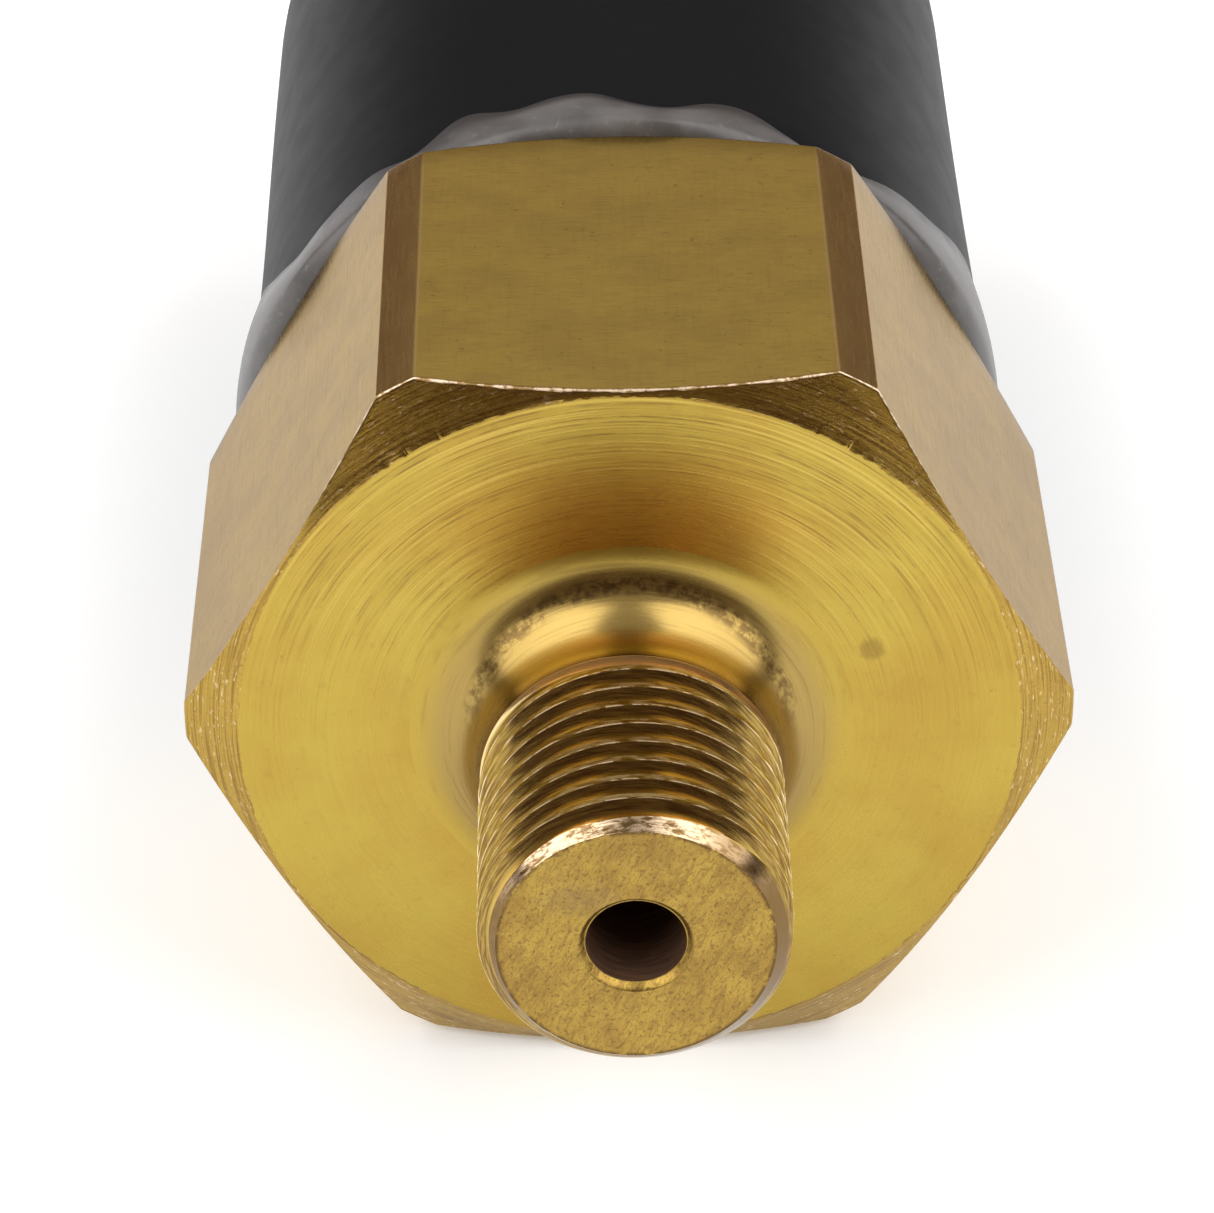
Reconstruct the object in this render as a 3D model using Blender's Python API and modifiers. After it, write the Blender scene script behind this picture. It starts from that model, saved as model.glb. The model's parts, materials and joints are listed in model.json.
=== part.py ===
"""Adjustable two-terminal pressure switch with a threaded brass stud, a hex body and a black boot.

The axis of the switch runs along Y. The stud points along -Y, and +Z leaves the middle of a hex flat.
The origin is on the axis, in the plane of the hex's front face. Lengths below are in millimetres and
become metres when the meshes are made. Names that end in _Y, _START or _END are places along Y.
"""

import math

import bmesh
import bpy

MM = 0.001
GAP = 0.3                       # clearance left between touching pieces
SIDES = 36                      # sides of a large turned piece
FINE_SIDES = 24                 # sides of a small turned piece
CONTACT_SIDES = 16

# Brass body
ACROSS_FLATS = 26.5
CORNER_RADIUS = 14.9            # the hex corners are turned off to this radius
FACE_RADIUS = 13.08             # flat ring of the front face, inside its chamfer
CHAMFER_SLOPE = math.tan(math.radians(30))
HEX_LENGTH = 17.27
REAR_FACE_RADIUS = 13.0
STUD_LENGTH = 11.57
STUD_END_RADIUS = 4.42
THREAD_RADIUS = 5.0
THREAD_DEPTH = 0.55
THREAD_PITCH = 1.0
THREAD_TURNS = 8
THREAD_START = 2.95             # first root of the thread, measured from the hex face
NECK_RADIUS = 4.95
FILLET_RADIUS = 2.4
PORT_RADIUS = 1.6
PORT_RIM_RADIUS = 1.8
CHAMBER_RADIUS = 7.5
CHAMBER_FLOOR = 3.0
SEAT_FLOOR = 4.5
CAVITY_RADIUS = 9.6
SPIGOT_RADIUS = 11.1
SPIGOT_END = 21.5
SPIGOT_CHAMFER = 0.4

# Steel sleeve, boot and sealing bead
SLEEVE_RADIUS = 12.35
SLEEVE_WALL = 0.9
SLEEVE_START = HEX_LENGTH + GAP
SLEEVE_END = 46.5
SLEEVE_LIP_RADIUS = 9.9
SLEEVE_LIP_ROUNDING = 0.8
BOOT_RADIUS = 13.6
BOOT_INNER_RADIUS = 12.7
BOOT_START = 19.5
BOOT_SHOULDER = 46.5            # where the boot starts to close in
BOOT_END = 55.0
BOOT_MOUTH_RADIUS = 9.1
BOOT_LIP_WIDTH = 0.6
BEAD_ROUNDING = 0.4

# Pressure side, stacked from the seat towards the rear
DISC_RADIUS = 9.3               # clamp ring and guide plate, inside the body's cavity
O_RING_RADIUS = 8.55
O_RING_SECTION = 0.6
DIAPHRAGM_START = SEAT_FLOOR + 2 * O_RING_SECTION + 2 * GAP
DIAPHRAGM_END = DIAPHRAGM_START + 0.4
DIAPHRAGM_RADIUS = 9.2
CONVOLUTION_RADIUS = 6.15       # the ring-shaped fold that lets the diaphragm move
CONVOLUTION_DEPTH = 0.25
CLAMP_START = DIAPHRAGM_END + GAP
CLAMP_END = CLAMP_START + 3.0
CLAMP_INNER_RADIUS = 6.6
PRESSURE_DISC_RADIUS = 5.8
PRESSURE_DISC_END = CLAMP_START + 2.2
GUIDE_START = CLAMP_END + GAP
GUIDE_END = GUIDE_START + 1.0
RETAINER_START = GUIDE_END + GAP
RETAINER_END = RETAINER_START + 0.8
RETAINER_INNER_RADIUS = 8.2
ROD_RADIUS = 1.5
ROD_START = PRESSURE_DISC_END + GAP
ROD_END = 16.3

# Contact carrier and contacts
CARRIER_START = ROD_END + GAP
CARRIER_FLANGE_RADIUS = 4.6
CARRIER_FLANGE_END = CARRIER_START + 1.0
CARRIER_STEM_RADIUS = 2.2
CARRIER_END = CARRIER_START + 6.5
CONTACT_SPRING_RADIUS = 3.1
CONTACT_SPRING_WIRE = 0.3
BRIDGE_START = 21.4
BRIDGE_THICKNESS = 0.6
BRIDGE_HALF_LENGTH = 7.9
BRIDGE_HALF_WIDTH = 1.9
BRIDGE_EYE_RADIUS = 4.2
CONTACT_X = 6.6
CONTACT_RADIUS = 1.3
CONTACT_THICKNESS = 0.6
MOVING_CONTACT_START = BRIDGE_START + BRIDGE_THICKNESS + GAP
FIXED_CONTACT_START = 24.0
CLIP_OUTER_RADIUS = 3.9
CLIP_THICKNESS = 0.5
SEAT_START = CARRIER_END + GAP
SEAT_END = SEAT_START + 1.0
SEAT_RADIUS = 4.3
SEAT_PILOT_RADIUS = 2.5
SEAT_PILOT_END = SEAT_END + 1.6

# Terminals
TERMINAL_THICKNESS = 0.8
TERMINAL_FOOT_X = 5.0           # inner edge of the foot that carries the fixed contact
TERMINAL_FOOT_Y = FIXED_CONTACT_START + CONTACT_THICKNESS + GAP + TERMINAL_THICKNESS / 2
TERMINAL_LEG_X = 8.6
TERMINAL_JOG_START = 37.2
TERMINAL_JOG_END = 39.4
TERMINAL_X = 6.6
TERMINAL_WIDENING = 44.0
TERMINAL_END = 63.0
BLADE_WIDTH = 6.3
BLADE_TIP_BEVEL = 1.5
LEG_WIDTH = 4.8
BLADE_HOLE_RADIUS = 0.85
BLADE_HOLE_Y = 59.5

# Range spring, nut and adjuster
SPRING_RADIUS = 3.6
SPRING_WIRE = 0.45
SPRING_TURNS = 6
SPRING_END_PITCH = 1.05
NUT_START = 34.0
NUT_END = 37.0
NUT_RADIUS = 4.6
NUT_EAR_WIDTH = 2.0
NUT_EAR_REACH = 5.5
SCREW_RADIUS = 2.0
SCREW_HEAD_RADIUS = 3.15
SCREW_GROOVE_RADIUS = 2.1
SCREW_TIP = 30.4
SCREW_COLLAR_START = 44.3
SCREW_COLLAR_END = 46.0
SCREW_HEAD_START = 47.6
SCREW_END = 54.3
SCREW_SLOT_WIDTH = 0.9
SCREW_SLOT_DEPTH = 1.2
BUSHING_RADIUS = 4.4
BUSHING_END = 54.9
BUSHING_BORE_RADIUS = 3.5
BUSHING_GROOVE_RADIUS = 4.0
BUSHING_GROOVE_START = 46.2
BUSHING_GROOVE_END = 47.4
ADJUSTER_CLIP_INSET = 0.25      # clearance of the clip in its groove

# Terminal base, liner and gasket
BASE_FLANGE_RADIUS = 11.1
BASE_FLANGE_START = 40.5
BASE_FLANGE_END = 44.1
BASE_BOSS_RADIUS = 8.8
BASE_BORE_RADIUS = BUSHING_RADIUS + GAP
BASE_END = 55.0
SKIRT_START = 30.0
SKIRT_RADIUS = 5.8
SKIRT_FLOOR = BASE_FLANGE_START - 0.5
KEY_SLOT_WIDTH = NUT_EAR_WIDTH + 2 * GAP
KEY_SLOT_END = 39.6
LINER_WALL = 0.5


def clear_scene():
    for old in list(bpy.data.objects):
        bpy.data.objects.remove(old, do_unlink=True)


def new_collection(name):
    collection = bpy.data.collections.new(name)
    bpy.context.scene.collection.children.link(collection)
    return collection


def finish_piece(piece, colour, roughness, metallic):
    """Puts a piece in the switch's collection and gives it its own material."""
    material = bpy.data.materials.new(piece.name)
    material.use_nodes = True
    shader = material.node_tree.nodes["Principled BSDF"]
    shader.inputs["Base Color"].default_value = (*colour, 1.0)
    shader.inputs["Roughness"].default_value = roughness
    shader.inputs["Metallic"].default_value = metallic
    piece.data.materials.append(material)
    switch.objects.link(piece)
    return piece


def brass(piece):
    return finish_piece(piece, (0.62, 0.43, 0.13), 0.3, 1.0)


def copper(piece):
    return finish_piece(piece, (0.75, 0.36, 0.2), 0.3, 1.0)


def steel(piece):
    return finish_piece(piece, (0.6, 0.6, 0.58), 0.35, 1.0)


def silver(piece):
    return finish_piece(piece, (0.8, 0.79, 0.76), 0.25, 1.0)


def black_rubber(piece):
    return finish_piece(piece, (0.015, 0.015, 0.017), 0.35, 0.0)


def sealant(piece):
    return finish_piece(piece, (0.3, 0.3, 0.31), 0.4, 0.0)


def amber_film(piece):
    return finish_piece(piece, (0.45, 0.22, 0.05), 0.3, 0.0)


def phenolic(piece):
    return finish_piece(piece, (0.03, 0.022, 0.018), 0.45, 0.0)


def nylon(piece):
    return finish_piece(piece, (0.75, 0.72, 0.62), 0.5, 0.0)


def fibre(piece):
    return finish_piece(piece, (0.55, 0.5, 0.42), 0.7, 0.0)


def arc(centre_radius, centre_y, radial, axial, start, end, steps):
    """Points of an ellipse's arc in the (radius, y) plane, angles in degrees from +radius towards +y."""
    points = []
    for step in range(steps + 1):
        angle = math.radians(start + (end - start) * step / steps)
        points.append((centre_radius + radial * math.cos(angle), centre_y + axial * math.sin(angle)))
    return points


def turned(name, outline, sides=SIDES):
    """Turns an outline of (radius, y) points about the Y axis.

    The outline runs from the rear to the front along its outer side. It either starts and ends on the
    axis or comes back to the rear along its inner side, where it is closed.
    """
    mesh = bpy.data.meshes.new(name)
    shape = bmesh.new()
    points = [shape.verts.new((radius * MM, 0.0, y * MM)) for radius, y in outline]
    for first, second in zip(points, points[1:]):
        shape.edges.new((first, second))
    starts_on_axis = outline[0][0] == 0.0
    if not starts_on_axis:
        shape.edges.new((points[-1], points[0]))
    shape.to_mesh(mesh)
    shape.free()
    piece = bpy.data.objects.new(name, mesh)
    piece.rotation_euler = (-math.pi / 2, 0.0, 0.0)
    screw = piece.modifiers.new("Turn", "SCREW")
    screw.axis = "Z"
    screw.steps = sides
    screw.render_steps = sides
    screw.use_merge_vertices = True
    screw.merge_threshold = 0.000001
    screw.use_smooth_shade = True
    return piece


def ring(name, inner, outer, start, end, sides=SIDES):
    return turned(name, [(outer, end), (outer, start), (inner, start), (inner, end)], sides)


def disc(name, radius, start, end, sides=FINE_SIDES):
    return turned(name, [(0.0, end), (radius, end), (radius, start), (0.0, start)], sides)


def box(name, low, high):
    """A box between two corners given in millimetres."""
    mesh = bpy.data.meshes.new(name)
    shape = bmesh.new()
    bmesh.ops.create_cube(shape, size=1.0)
    for vert in shape.verts:
        for axis in range(3):
            share = vert.co[axis] + 0.5
            vert.co[axis] = (low[axis] + (high[axis] - low[axis]) * share) * MM
    shape.to_mesh(mesh)
    shape.free()
    return bpy.data.objects.new(name, mesh)


def across_cylinder(name, radius, y, half_length):
    """A cylinder along X, for the hole through a blade."""
    mesh = bpy.data.meshes.new(name)
    shape = bmesh.new()
    bmesh.ops.create_cone(shape, cap_ends=True, segments=CONTACT_SIDES, radius1=radius * MM,
                          radius2=radius * MM, depth=2 * half_length * MM)
    shape.to_mesh(mesh)
    shape.free()
    piece = bpy.data.objects.new(name, mesh)
    piece.rotation_euler = (0.0, math.pi / 2, 0.0)
    piece.location = (0.0, y * MM, 0.0)
    return piece


def combine(piece, helper, operation):
    """Adds a Boolean modifier and keeps its helper out of sight."""
    cutters.objects.link(helper)
    helper.hide_render = True
    helper.display_type = "WIRE"
    boolean = piece.modifiers.new(helper.name, "BOOLEAN")
    boolean.operation = operation
    boolean.object = helper


def cut_ring_gap(piece, half_width, start, end):
    """Opens a ring at its top, as a snap ring or clip is open."""
    gap = box(f"{piece.name}_gap", (-half_width, start - 1.0, 1.0), (half_width, end + 1.0, 10.0))
    combine(piece, gap, "DIFFERENCE")
    return piece


def coil(name, radius, wire, start, end, turns, end_pitch, points_a_turn):
    """A compression spring along Y whose first and last turns lie close together."""
    free_pitch = (end - start - 2 * end_pitch) / (turns - 2)
    count = turns * points_a_turn
    curve = bpy.data.curves.new(name, "CURVE")
    curve.dimensions = "3D"
    curve.bevel_depth = wire * MM
    curve.bevel_resolution = 2
    curve.use_fill_caps = True
    spline = curve.splines.new("POLY")
    spline.points.add(count)
    for index in range(count + 1):
        turn = index / points_a_turn
        angle = 2 * math.pi * turn
        if turn <= 1:
            y = start + end_pitch * turn
        elif turn >= turns - 1:
            y = end - end_pitch * (turns - turn)
        else:
            y = start + end_pitch + free_pitch * (turn - 1)
        across = radius * MM * math.cos(angle)
        up = radius * MM * math.sin(angle)
        spline.points[index].co = (across, y * MM, up, 1.0)
    return bpy.data.objects.new(name, curve)


def thread_ridges():
    """Outline of the stud's thread as plain ridges, from the neck to the last crest."""
    points = []
    for turn in range(THREAD_TURNS):
        root = -THREAD_START - turn * THREAD_PITCH
        points.append((THREAD_RADIUS - THREAD_DEPTH, root))
        points.append((THREAD_RADIUS, root - THREAD_PITCH / 2))
    return points


def make_hex_body():
    """Brass bar: threaded stud, fillet, hex with turned-off corners, rear spigot and inner steps."""
    corner_start = CHAMFER_SLOPE * (CORNER_RADIUS - FACE_RADIUS)
    corner_end = HEX_LENGTH - CHAMFER_SLOPE * (CORNER_RADIUS - REAR_FACE_RADIUS)
    fillet_centre = NECK_RADIUS + FILLET_RADIUS
    outline = [
        (SPIGOT_RADIUS - SPIGOT_CHAMFER, SPIGOT_END),
        (SPIGOT_RADIUS, SPIGOT_END - SPIGOT_CHAMFER),
        (SPIGOT_RADIUS, HEX_LENGTH),
        (REAR_FACE_RADIUS, HEX_LENGTH),
        (CORNER_RADIUS, corner_end),
        (CORNER_RADIUS, corner_start),
        (FACE_RADIUS, 0.0),
    ]
    outline += arc(fillet_centre, -FILLET_RADIUS, FILLET_RADIUS, FILLET_RADIUS, 90, 180, 5)
    outline.append((NECK_RADIUS, -THREAD_START + 0.25))
    outline += thread_ridges()
    outline += [
        (THREAD_RADIUS - 0.1, -STUD_LENGTH + 0.3),
        (STUD_END_RADIUS, -STUD_LENGTH),
        (PORT_RIM_RADIUS, -STUD_LENGTH),
        (PORT_RADIUS, -STUD_LENGTH + 0.25),
        (PORT_RADIUS, CHAMBER_FLOOR),
        (CHAMBER_RADIUS, CHAMBER_FLOOR),
        (CHAMBER_RADIUS, SEAT_FLOOR),
        (CAVITY_RADIUS, SEAT_FLOOR),
        (CAVITY_RADIUS, SPIGOT_END),
    ]
    body = turned("hex_body", outline)
    for side in range(6):
        low = (-CORNER_RADIUS, -1.0, ACROSS_FLATS / 2)
        high = (CORNER_RADIUS, HEX_LENGTH + 0.2, CORNER_RADIUS + 2.0)
        slab = box(f"flat_cutter_{side + 1}", low, high)
        slab.rotation_euler = (0.0, math.radians(60 * side), 0.0)
        combine(body, slab, "DIFFERENCE")
    return brass(body)


def make_sleeve():
    """Steel sleeve, pushed over the spigot and rolled in over the terminal base."""
    inner = SLEEVE_RADIUS - SLEEVE_WALL
    lip_centre = SLEEVE_RADIUS - SLEEVE_LIP_ROUNDING
    lip_y = SLEEVE_END - SLEEVE_LIP_ROUNDING
    outline = [(SLEEVE_LIP_RADIUS, SLEEVE_END)]
    outline += arc(lip_centre, lip_y, SLEEVE_LIP_ROUNDING, SLEEVE_LIP_ROUNDING, 90, 0, 3)
    outline += [
        (SLEEVE_RADIUS, SLEEVE_START),
        (inner, SLEEVE_START),
        (inner, SLEEVE_END - SLEEVE_WALL),
        (SLEEVE_LIP_RADIUS, SLEEVE_END - SLEEVE_WALL),
    ]
    return steel(turned("housing_sleeve", outline))


def make_boot():
    """Black boot: straight along the sleeve, then closing in to a mouth around the terminal base."""
    lip_radius = BOOT_MOUTH_RADIUS + BOOT_LIP_WIDTH
    outline = arc(lip_radius, BOOT_SHOULDER, BOOT_RADIUS - lip_radius, BOOT_END - BOOT_SHOULDER, 90, 0, 7)
    outline += [
        (BOOT_RADIUS, BOOT_START + GAP),
        (BOOT_RADIUS - GAP, BOOT_START),
        (BOOT_INNER_RADIUS, BOOT_START),
    ]
    inner_reach = BOOT_END - BOOT_SHOULDER - 1.0
    outline += arc(BOOT_MOUTH_RADIUS, BOOT_SHOULDER, BOOT_INNER_RADIUS - BOOT_MOUTH_RADIUS,
                   inner_reach, 0, 90, 7)
    outline.append((BOOT_MOUTH_RADIUS, BOOT_END))
    return black_rubber(turned("cover_boot", outline))


def make_bead():
    """Bead of clear sealant that closes the joint between the boot and the hex."""
    inner = SLEEVE_RADIUS + GAP
    end = BOOT_START - GAP
    outline = [
        (BOOT_RADIUS - BEAD_ROUNDING, end),
        (BOOT_RADIUS, end - BEAD_ROUNDING),
        (BOOT_RADIUS, SLEEVE_START + BEAD_ROUNDING),
        (BOOT_RADIUS - BEAD_ROUNDING, SLEEVE_START),
        (inner, SLEEVE_START),
        (inner, end),
    ]
    return sealant(turned("sealant_bead", outline))


def make_o_ring():
    section = arc(O_RING_RADIUS, SEAT_FLOOR + GAP + O_RING_SECTION, O_RING_SECTION, O_RING_SECTION,
                  0, -360, 10)
    return black_rubber(turned("chamber_o_ring", section[:-1]))


def make_diaphragm():
    """Film disc with one ring-shaped fold that lets its middle move."""
    half_fold = CONVOLUTION_DEPTH
    fold = ((CONVOLUTION_RADIUS - half_fold, 0.0), (CONVOLUTION_RADIUS, CONVOLUTION_DEPTH),
            (CONVOLUTION_RADIUS + half_fold, 0.0))
    rear = [(radius, DIAPHRAGM_END - depth) for radius, depth in fold]
    front = [(radius, DIAPHRAGM_START - depth) for radius, depth in reversed(fold)]
    outline = [(0.0, DIAPHRAGM_END)] + rear
    outline += [(DIAPHRAGM_RADIUS, DIAPHRAGM_END), (DIAPHRAGM_RADIUS, DIAPHRAGM_START)]
    outline += front + [(0.0, DIAPHRAGM_START)]
    return amber_film(turned("diaphragm", outline))


def make_fixed_stack():
    """What holds the diaphragm down: clamp ring, guide plate and a snap ring in the body."""
    steel(ring("diaphragm_clamp_ring", CLAMP_INNER_RADIUS, DISC_RADIUS, CLAMP_START, CLAMP_END))
    steel(ring("guide_plate", ROD_RADIUS + GAP, DISC_RADIUS, GUIDE_START, GUIDE_END))
    retainer = ring("guide_retaining_ring", RETAINER_INNER_RADIUS, DISC_RADIUS, RETAINER_START, RETAINER_END)
    steel(cut_ring_gap(retainer, 1.5, RETAINER_START, RETAINER_END))


def make_plunger():
    """Pressure disc, push rod and the insulating carrier with the rear spring seat."""
    brass(disc("pressure_disc", PRESSURE_DISC_RADIUS, CLAMP_START, PRESSURE_DISC_END, SIDES))
    steel(disc("plunger_rod", ROD_RADIUS, ROD_START, ROD_END))
    carrier = [
        (0.0, CARRIER_END),
        (CARRIER_STEM_RADIUS, CARRIER_END),
        (CARRIER_STEM_RADIUS, CARRIER_FLANGE_END),
        (CARRIER_FLANGE_RADIUS, CARRIER_FLANGE_END),
        (CARRIER_FLANGE_RADIUS, CARRIER_START),
        (0.0, CARRIER_START),
    ]
    nylon(turned("contact_carrier", carrier, FINE_SIDES))
    seat = [
        (0.0, SEAT_PILOT_END),
        (SEAT_PILOT_RADIUS - 0.2, SEAT_PILOT_END),
        (SEAT_PILOT_RADIUS, SEAT_PILOT_END - 0.2),
        (SEAT_PILOT_RADIUS, SEAT_END),
        (SEAT_RADIUS, SEAT_END),
        (SEAT_RADIUS, SEAT_START),
        (0.0, SEAT_START),
    ]
    nylon(turned("lower_spring_seat", seat, FINE_SIDES))


def make_bridge():
    """Copper bridge that joins the two fixed contacts when pressure lifts it, its spring and its clip."""
    end = BRIDGE_START + BRIDGE_THICKNESS
    bridge = box("contact_bridge", (-BRIDGE_HALF_LENGTH, BRIDGE_START, -BRIDGE_HALF_WIDTH),
                 (BRIDGE_HALF_LENGTH, end, BRIDGE_HALF_WIDTH))
    combine(bridge, disc("bridge_eye", BRIDGE_EYE_RADIUS, BRIDGE_START, end), "UNION")
    hole_radius = CARRIER_STEM_RADIUS + GAP
    combine(bridge, disc("bridge_hole", hole_radius, BRIDGE_START - 1.0, end + 1.0), "DIFFERENCE")
    copper(bridge)
    spring_start = CARRIER_FLANGE_END + GAP + CONTACT_SPRING_WIRE
    spring_end = BRIDGE_START - GAP - CONTACT_SPRING_WIRE
    steel(coil("contact_spring", CONTACT_SPRING_RADIUS, CONTACT_SPRING_WIRE, spring_start, spring_end,
               3, 0.75, 12))
    clip_end = MOVING_CONTACT_START + CLIP_THICKNESS
    clip = ring("carrier_clip", hole_radius, CLIP_OUTER_RADIUS, MOVING_CONTACT_START, clip_end, FINE_SIDES)
    steel(cut_ring_gap(clip, 1.2, MOVING_CONTACT_START, clip_end))


def make_contact(name, sign, start):
    """One silver contact button beside the axis."""
    contact = disc(name, CONTACT_RADIUS, start, start + CONTACT_THICKNESS, CONTACT_SIDES)
    contact.location = (sign * CONTACT_X * MM, 0.0, 0.0)
    return silver(contact)


def make_terminal(side, sign):
    """Bent brass strip: contact foot, narrow leg, jog and the blade behind the base."""
    blade = BLADE_WIDTH / 2
    leg = LEG_WIDTH / 2
    rows = [
        (TERMINAL_FOOT_X, TERMINAL_FOOT_Y, leg),
        (TERMINAL_LEG_X, TERMINAL_FOOT_Y, leg),
        (TERMINAL_LEG_X, TERMINAL_JOG_START, leg),
        (TERMINAL_X, TERMINAL_JOG_END, leg),
        (TERMINAL_X, TERMINAL_WIDENING, leg),
        (TERMINAL_X, TERMINAL_WIDENING + 1.0, blade),
        (TERMINAL_X, TERMINAL_END - BLADE_TIP_BEVEL, blade),
        (TERMINAL_X, TERMINAL_END, blade - 1.0),
    ]
    name = f"terminal_{side}"
    mesh = bpy.data.meshes.new(name)
    shape = bmesh.new()
    edges = []
    for x, y, half in rows:
        low = shape.verts.new((sign * x * MM, y * MM, -half * MM))
        high = shape.verts.new((sign * x * MM, y * MM, half * MM))
        edges.append((low, high))
    for (low, high), (next_low, next_high) in zip(edges, edges[1:]):
        shape.faces.new((low, high, next_high, next_low))
    bmesh.ops.recalc_face_normals(shape, faces=shape.faces)
    shape.to_mesh(mesh)
    shape.free()
    terminal = bpy.data.objects.new(name, mesh)
    thickness = terminal.modifiers.new("Thickness", "SOLIDIFY")
    thickness.thickness = TERMINAL_THICKNESS * MM
    thickness.offset = 0.0
    thickness.use_even_offset = True
    hole = across_cylinder(f"blade_hole_{side}", BLADE_HOLE_RADIUS, BLADE_HOLE_Y, 10.0)
    combine(terminal, hole, "DIFFERENCE")
    return brass(terminal)


def make_spring_and_nut():
    """Range spring and the keyed nut that travels along the adjuster screw."""
    spring_start = SEAT_END + GAP + SPRING_WIRE
    spring_end = NUT_START - GAP - SPRING_WIRE
    steel(coil("range_spring", SPRING_RADIUS, SPRING_WIRE, spring_start, spring_end,
               SPRING_TURNS, SPRING_END_PITCH, 16))
    nut = disc("travelling_nut", NUT_RADIUS, NUT_START, NUT_END)
    half_ear = NUT_EAR_WIDTH / 2
    ears = box("nut_ears", (-half_ear, NUT_START + 0.2, -NUT_EAR_REACH),
               (half_ear, NUT_END - 0.2, NUT_EAR_REACH))
    combine(nut, ears, "UNION")
    combine(nut, disc("nut_hole", SCREW_RADIUS + GAP, NUT_START - 1.0, NUT_END + 1.0), "DIFFERENCE")
    brass(nut)


def make_adjuster_screw():
    """Captive screw with a collar, a groove for its clip and a slotted head."""
    outline = [
        (0.0, SCREW_END),
        (SCREW_HEAD_RADIUS - 0.3, SCREW_END),
        (SCREW_HEAD_RADIUS, SCREW_END - 0.3),
        (SCREW_HEAD_RADIUS, SCREW_HEAD_START),
        (SCREW_GROOVE_RADIUS, SCREW_HEAD_START),
        (SCREW_GROOVE_RADIUS, SCREW_COLLAR_END),
        (SCREW_HEAD_RADIUS, SCREW_COLLAR_END),
        (SCREW_HEAD_RADIUS, SCREW_COLLAR_START),
        (SCREW_RADIUS, SCREW_COLLAR_START),
        (SCREW_RADIUS, SCREW_TIP + 0.5),
        (SCREW_RADIUS - 0.5, SCREW_TIP),
        (0.0, SCREW_TIP),
    ]
    screw = turned("adjuster_screw", outline, FINE_SIDES)
    half_slot = SCREW_SLOT_WIDTH / 2
    slot = box("screw_slot", (-5.0, SCREW_END - SCREW_SLOT_DEPTH, -half_slot),
               (5.0, SCREW_END + 1.0, half_slot))
    combine(screw, slot, "DIFFERENCE")
    return brass(screw)


def make_bushing_and_clip():
    """Brass bushing that the adjuster screw turns in, and the clip that keeps the screw in."""
    step = SCREW_COLLAR_START - 0.4
    outline = [
        (BUSHING_RADIUS, BUSHING_END),
        (BUSHING_RADIUS, BASE_FLANGE_START),
        (SCREW_RADIUS + 0.35, BASE_FLANGE_START),
        (SCREW_RADIUS + 0.35, step),
        (BUSHING_BORE_RADIUS, step),
        (BUSHING_BORE_RADIUS, BUSHING_GROOVE_START),
        (BUSHING_GROOVE_RADIUS, BUSHING_GROOVE_START),
        (BUSHING_GROOVE_RADIUS, BUSHING_GROOVE_END),
        (BUSHING_BORE_RADIUS, BUSHING_GROOVE_END),
        (BUSHING_BORE_RADIUS, BUSHING_END),
    ]
    brass(turned("adjuster_bushing", outline, FINE_SIDES))
    start = BUSHING_GROOVE_START + ADJUSTER_CLIP_INSET
    end = BUSHING_GROOVE_END - ADJUSTER_CLIP_INSET
    outer = BUSHING_GROOVE_RADIUS - ADJUSTER_CLIP_INSET
    clip = ring("adjuster_clip", SCREW_GROOVE_RADIUS + GAP, outer, start, end, FINE_SIDES)
    steel(cut_ring_gap(clip, 1.0, start, end))


def make_terminal_base():
    """Moulded base: flange under the rolled lip, rear boss with blade slots, front skirt for the nut."""
    outline = [
        (BASE_BOSS_RADIUS - 0.4, BASE_END),
        (BASE_BOSS_RADIUS, BASE_END - 0.4),
        (BASE_BOSS_RADIUS, BASE_FLANGE_END),
        (BASE_FLANGE_RADIUS, BASE_FLANGE_END),
        (BASE_FLANGE_RADIUS, BASE_FLANGE_START),
        (SKIRT_RADIUS, BASE_FLANGE_START),
        (SKIRT_RADIUS, SKIRT_START),
        (NUT_RADIUS + GAP, SKIRT_START),
        (NUT_RADIUS + GAP, SKIRT_FLOOR),
        (BASE_BORE_RADIUS, SKIRT_FLOOR),
        (BASE_BORE_RADIUS, BASE_END),
    ]
    base = turned("terminal_base", outline)
    thin = TERMINAL_THICKNESS / 2 + GAP
    wide = BLADE_WIDTH / 2 + GAP
    half_key = KEY_SLOT_WIDTH / 2
    for sign, blade_side, key_side in ((-1, "left", "bottom"), (1, "right", "top")):
        across = sorted((sign * (TERMINAL_X - thin), sign * (TERMINAL_X + thin)))
        slot = box(f"blade_slot_{blade_side}", (across[0], SKIRT_FLOOR - 1.0, -wide),
                   (across[1], BASE_END + 1.0, wide))
        combine(base, slot, "DIFFERENCE")
        up = sorted((sign * (NUT_RADIUS - 1.0), sign * (SKIRT_RADIUS + 1.0)))
        key = box(f"key_slot_{key_side}", (-half_key, SKIRT_START - 1.0, up[0]),
                  (half_key, KEY_SLOT_END, up[1]))
        combine(base, key, "DIFFERENCE")
    return phenolic(base)


def make_liner_and_gasket():
    """Insulating tube inside the sleeve, and the gasket under its rolled lip."""
    outer = BASE_FLANGE_RADIUS
    fibre(ring("insulating_liner", outer - LINER_WALL, outer, SPIGOT_END + GAP, BASE_FLANGE_START - GAP))
    gasket_end = SLEEVE_END - SLEEVE_WALL - GAP
    black_rubber(ring("base_gasket", BASE_BOSS_RADIUS + 0.4, outer, BASE_FLANGE_END + GAP, gasket_end))


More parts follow.
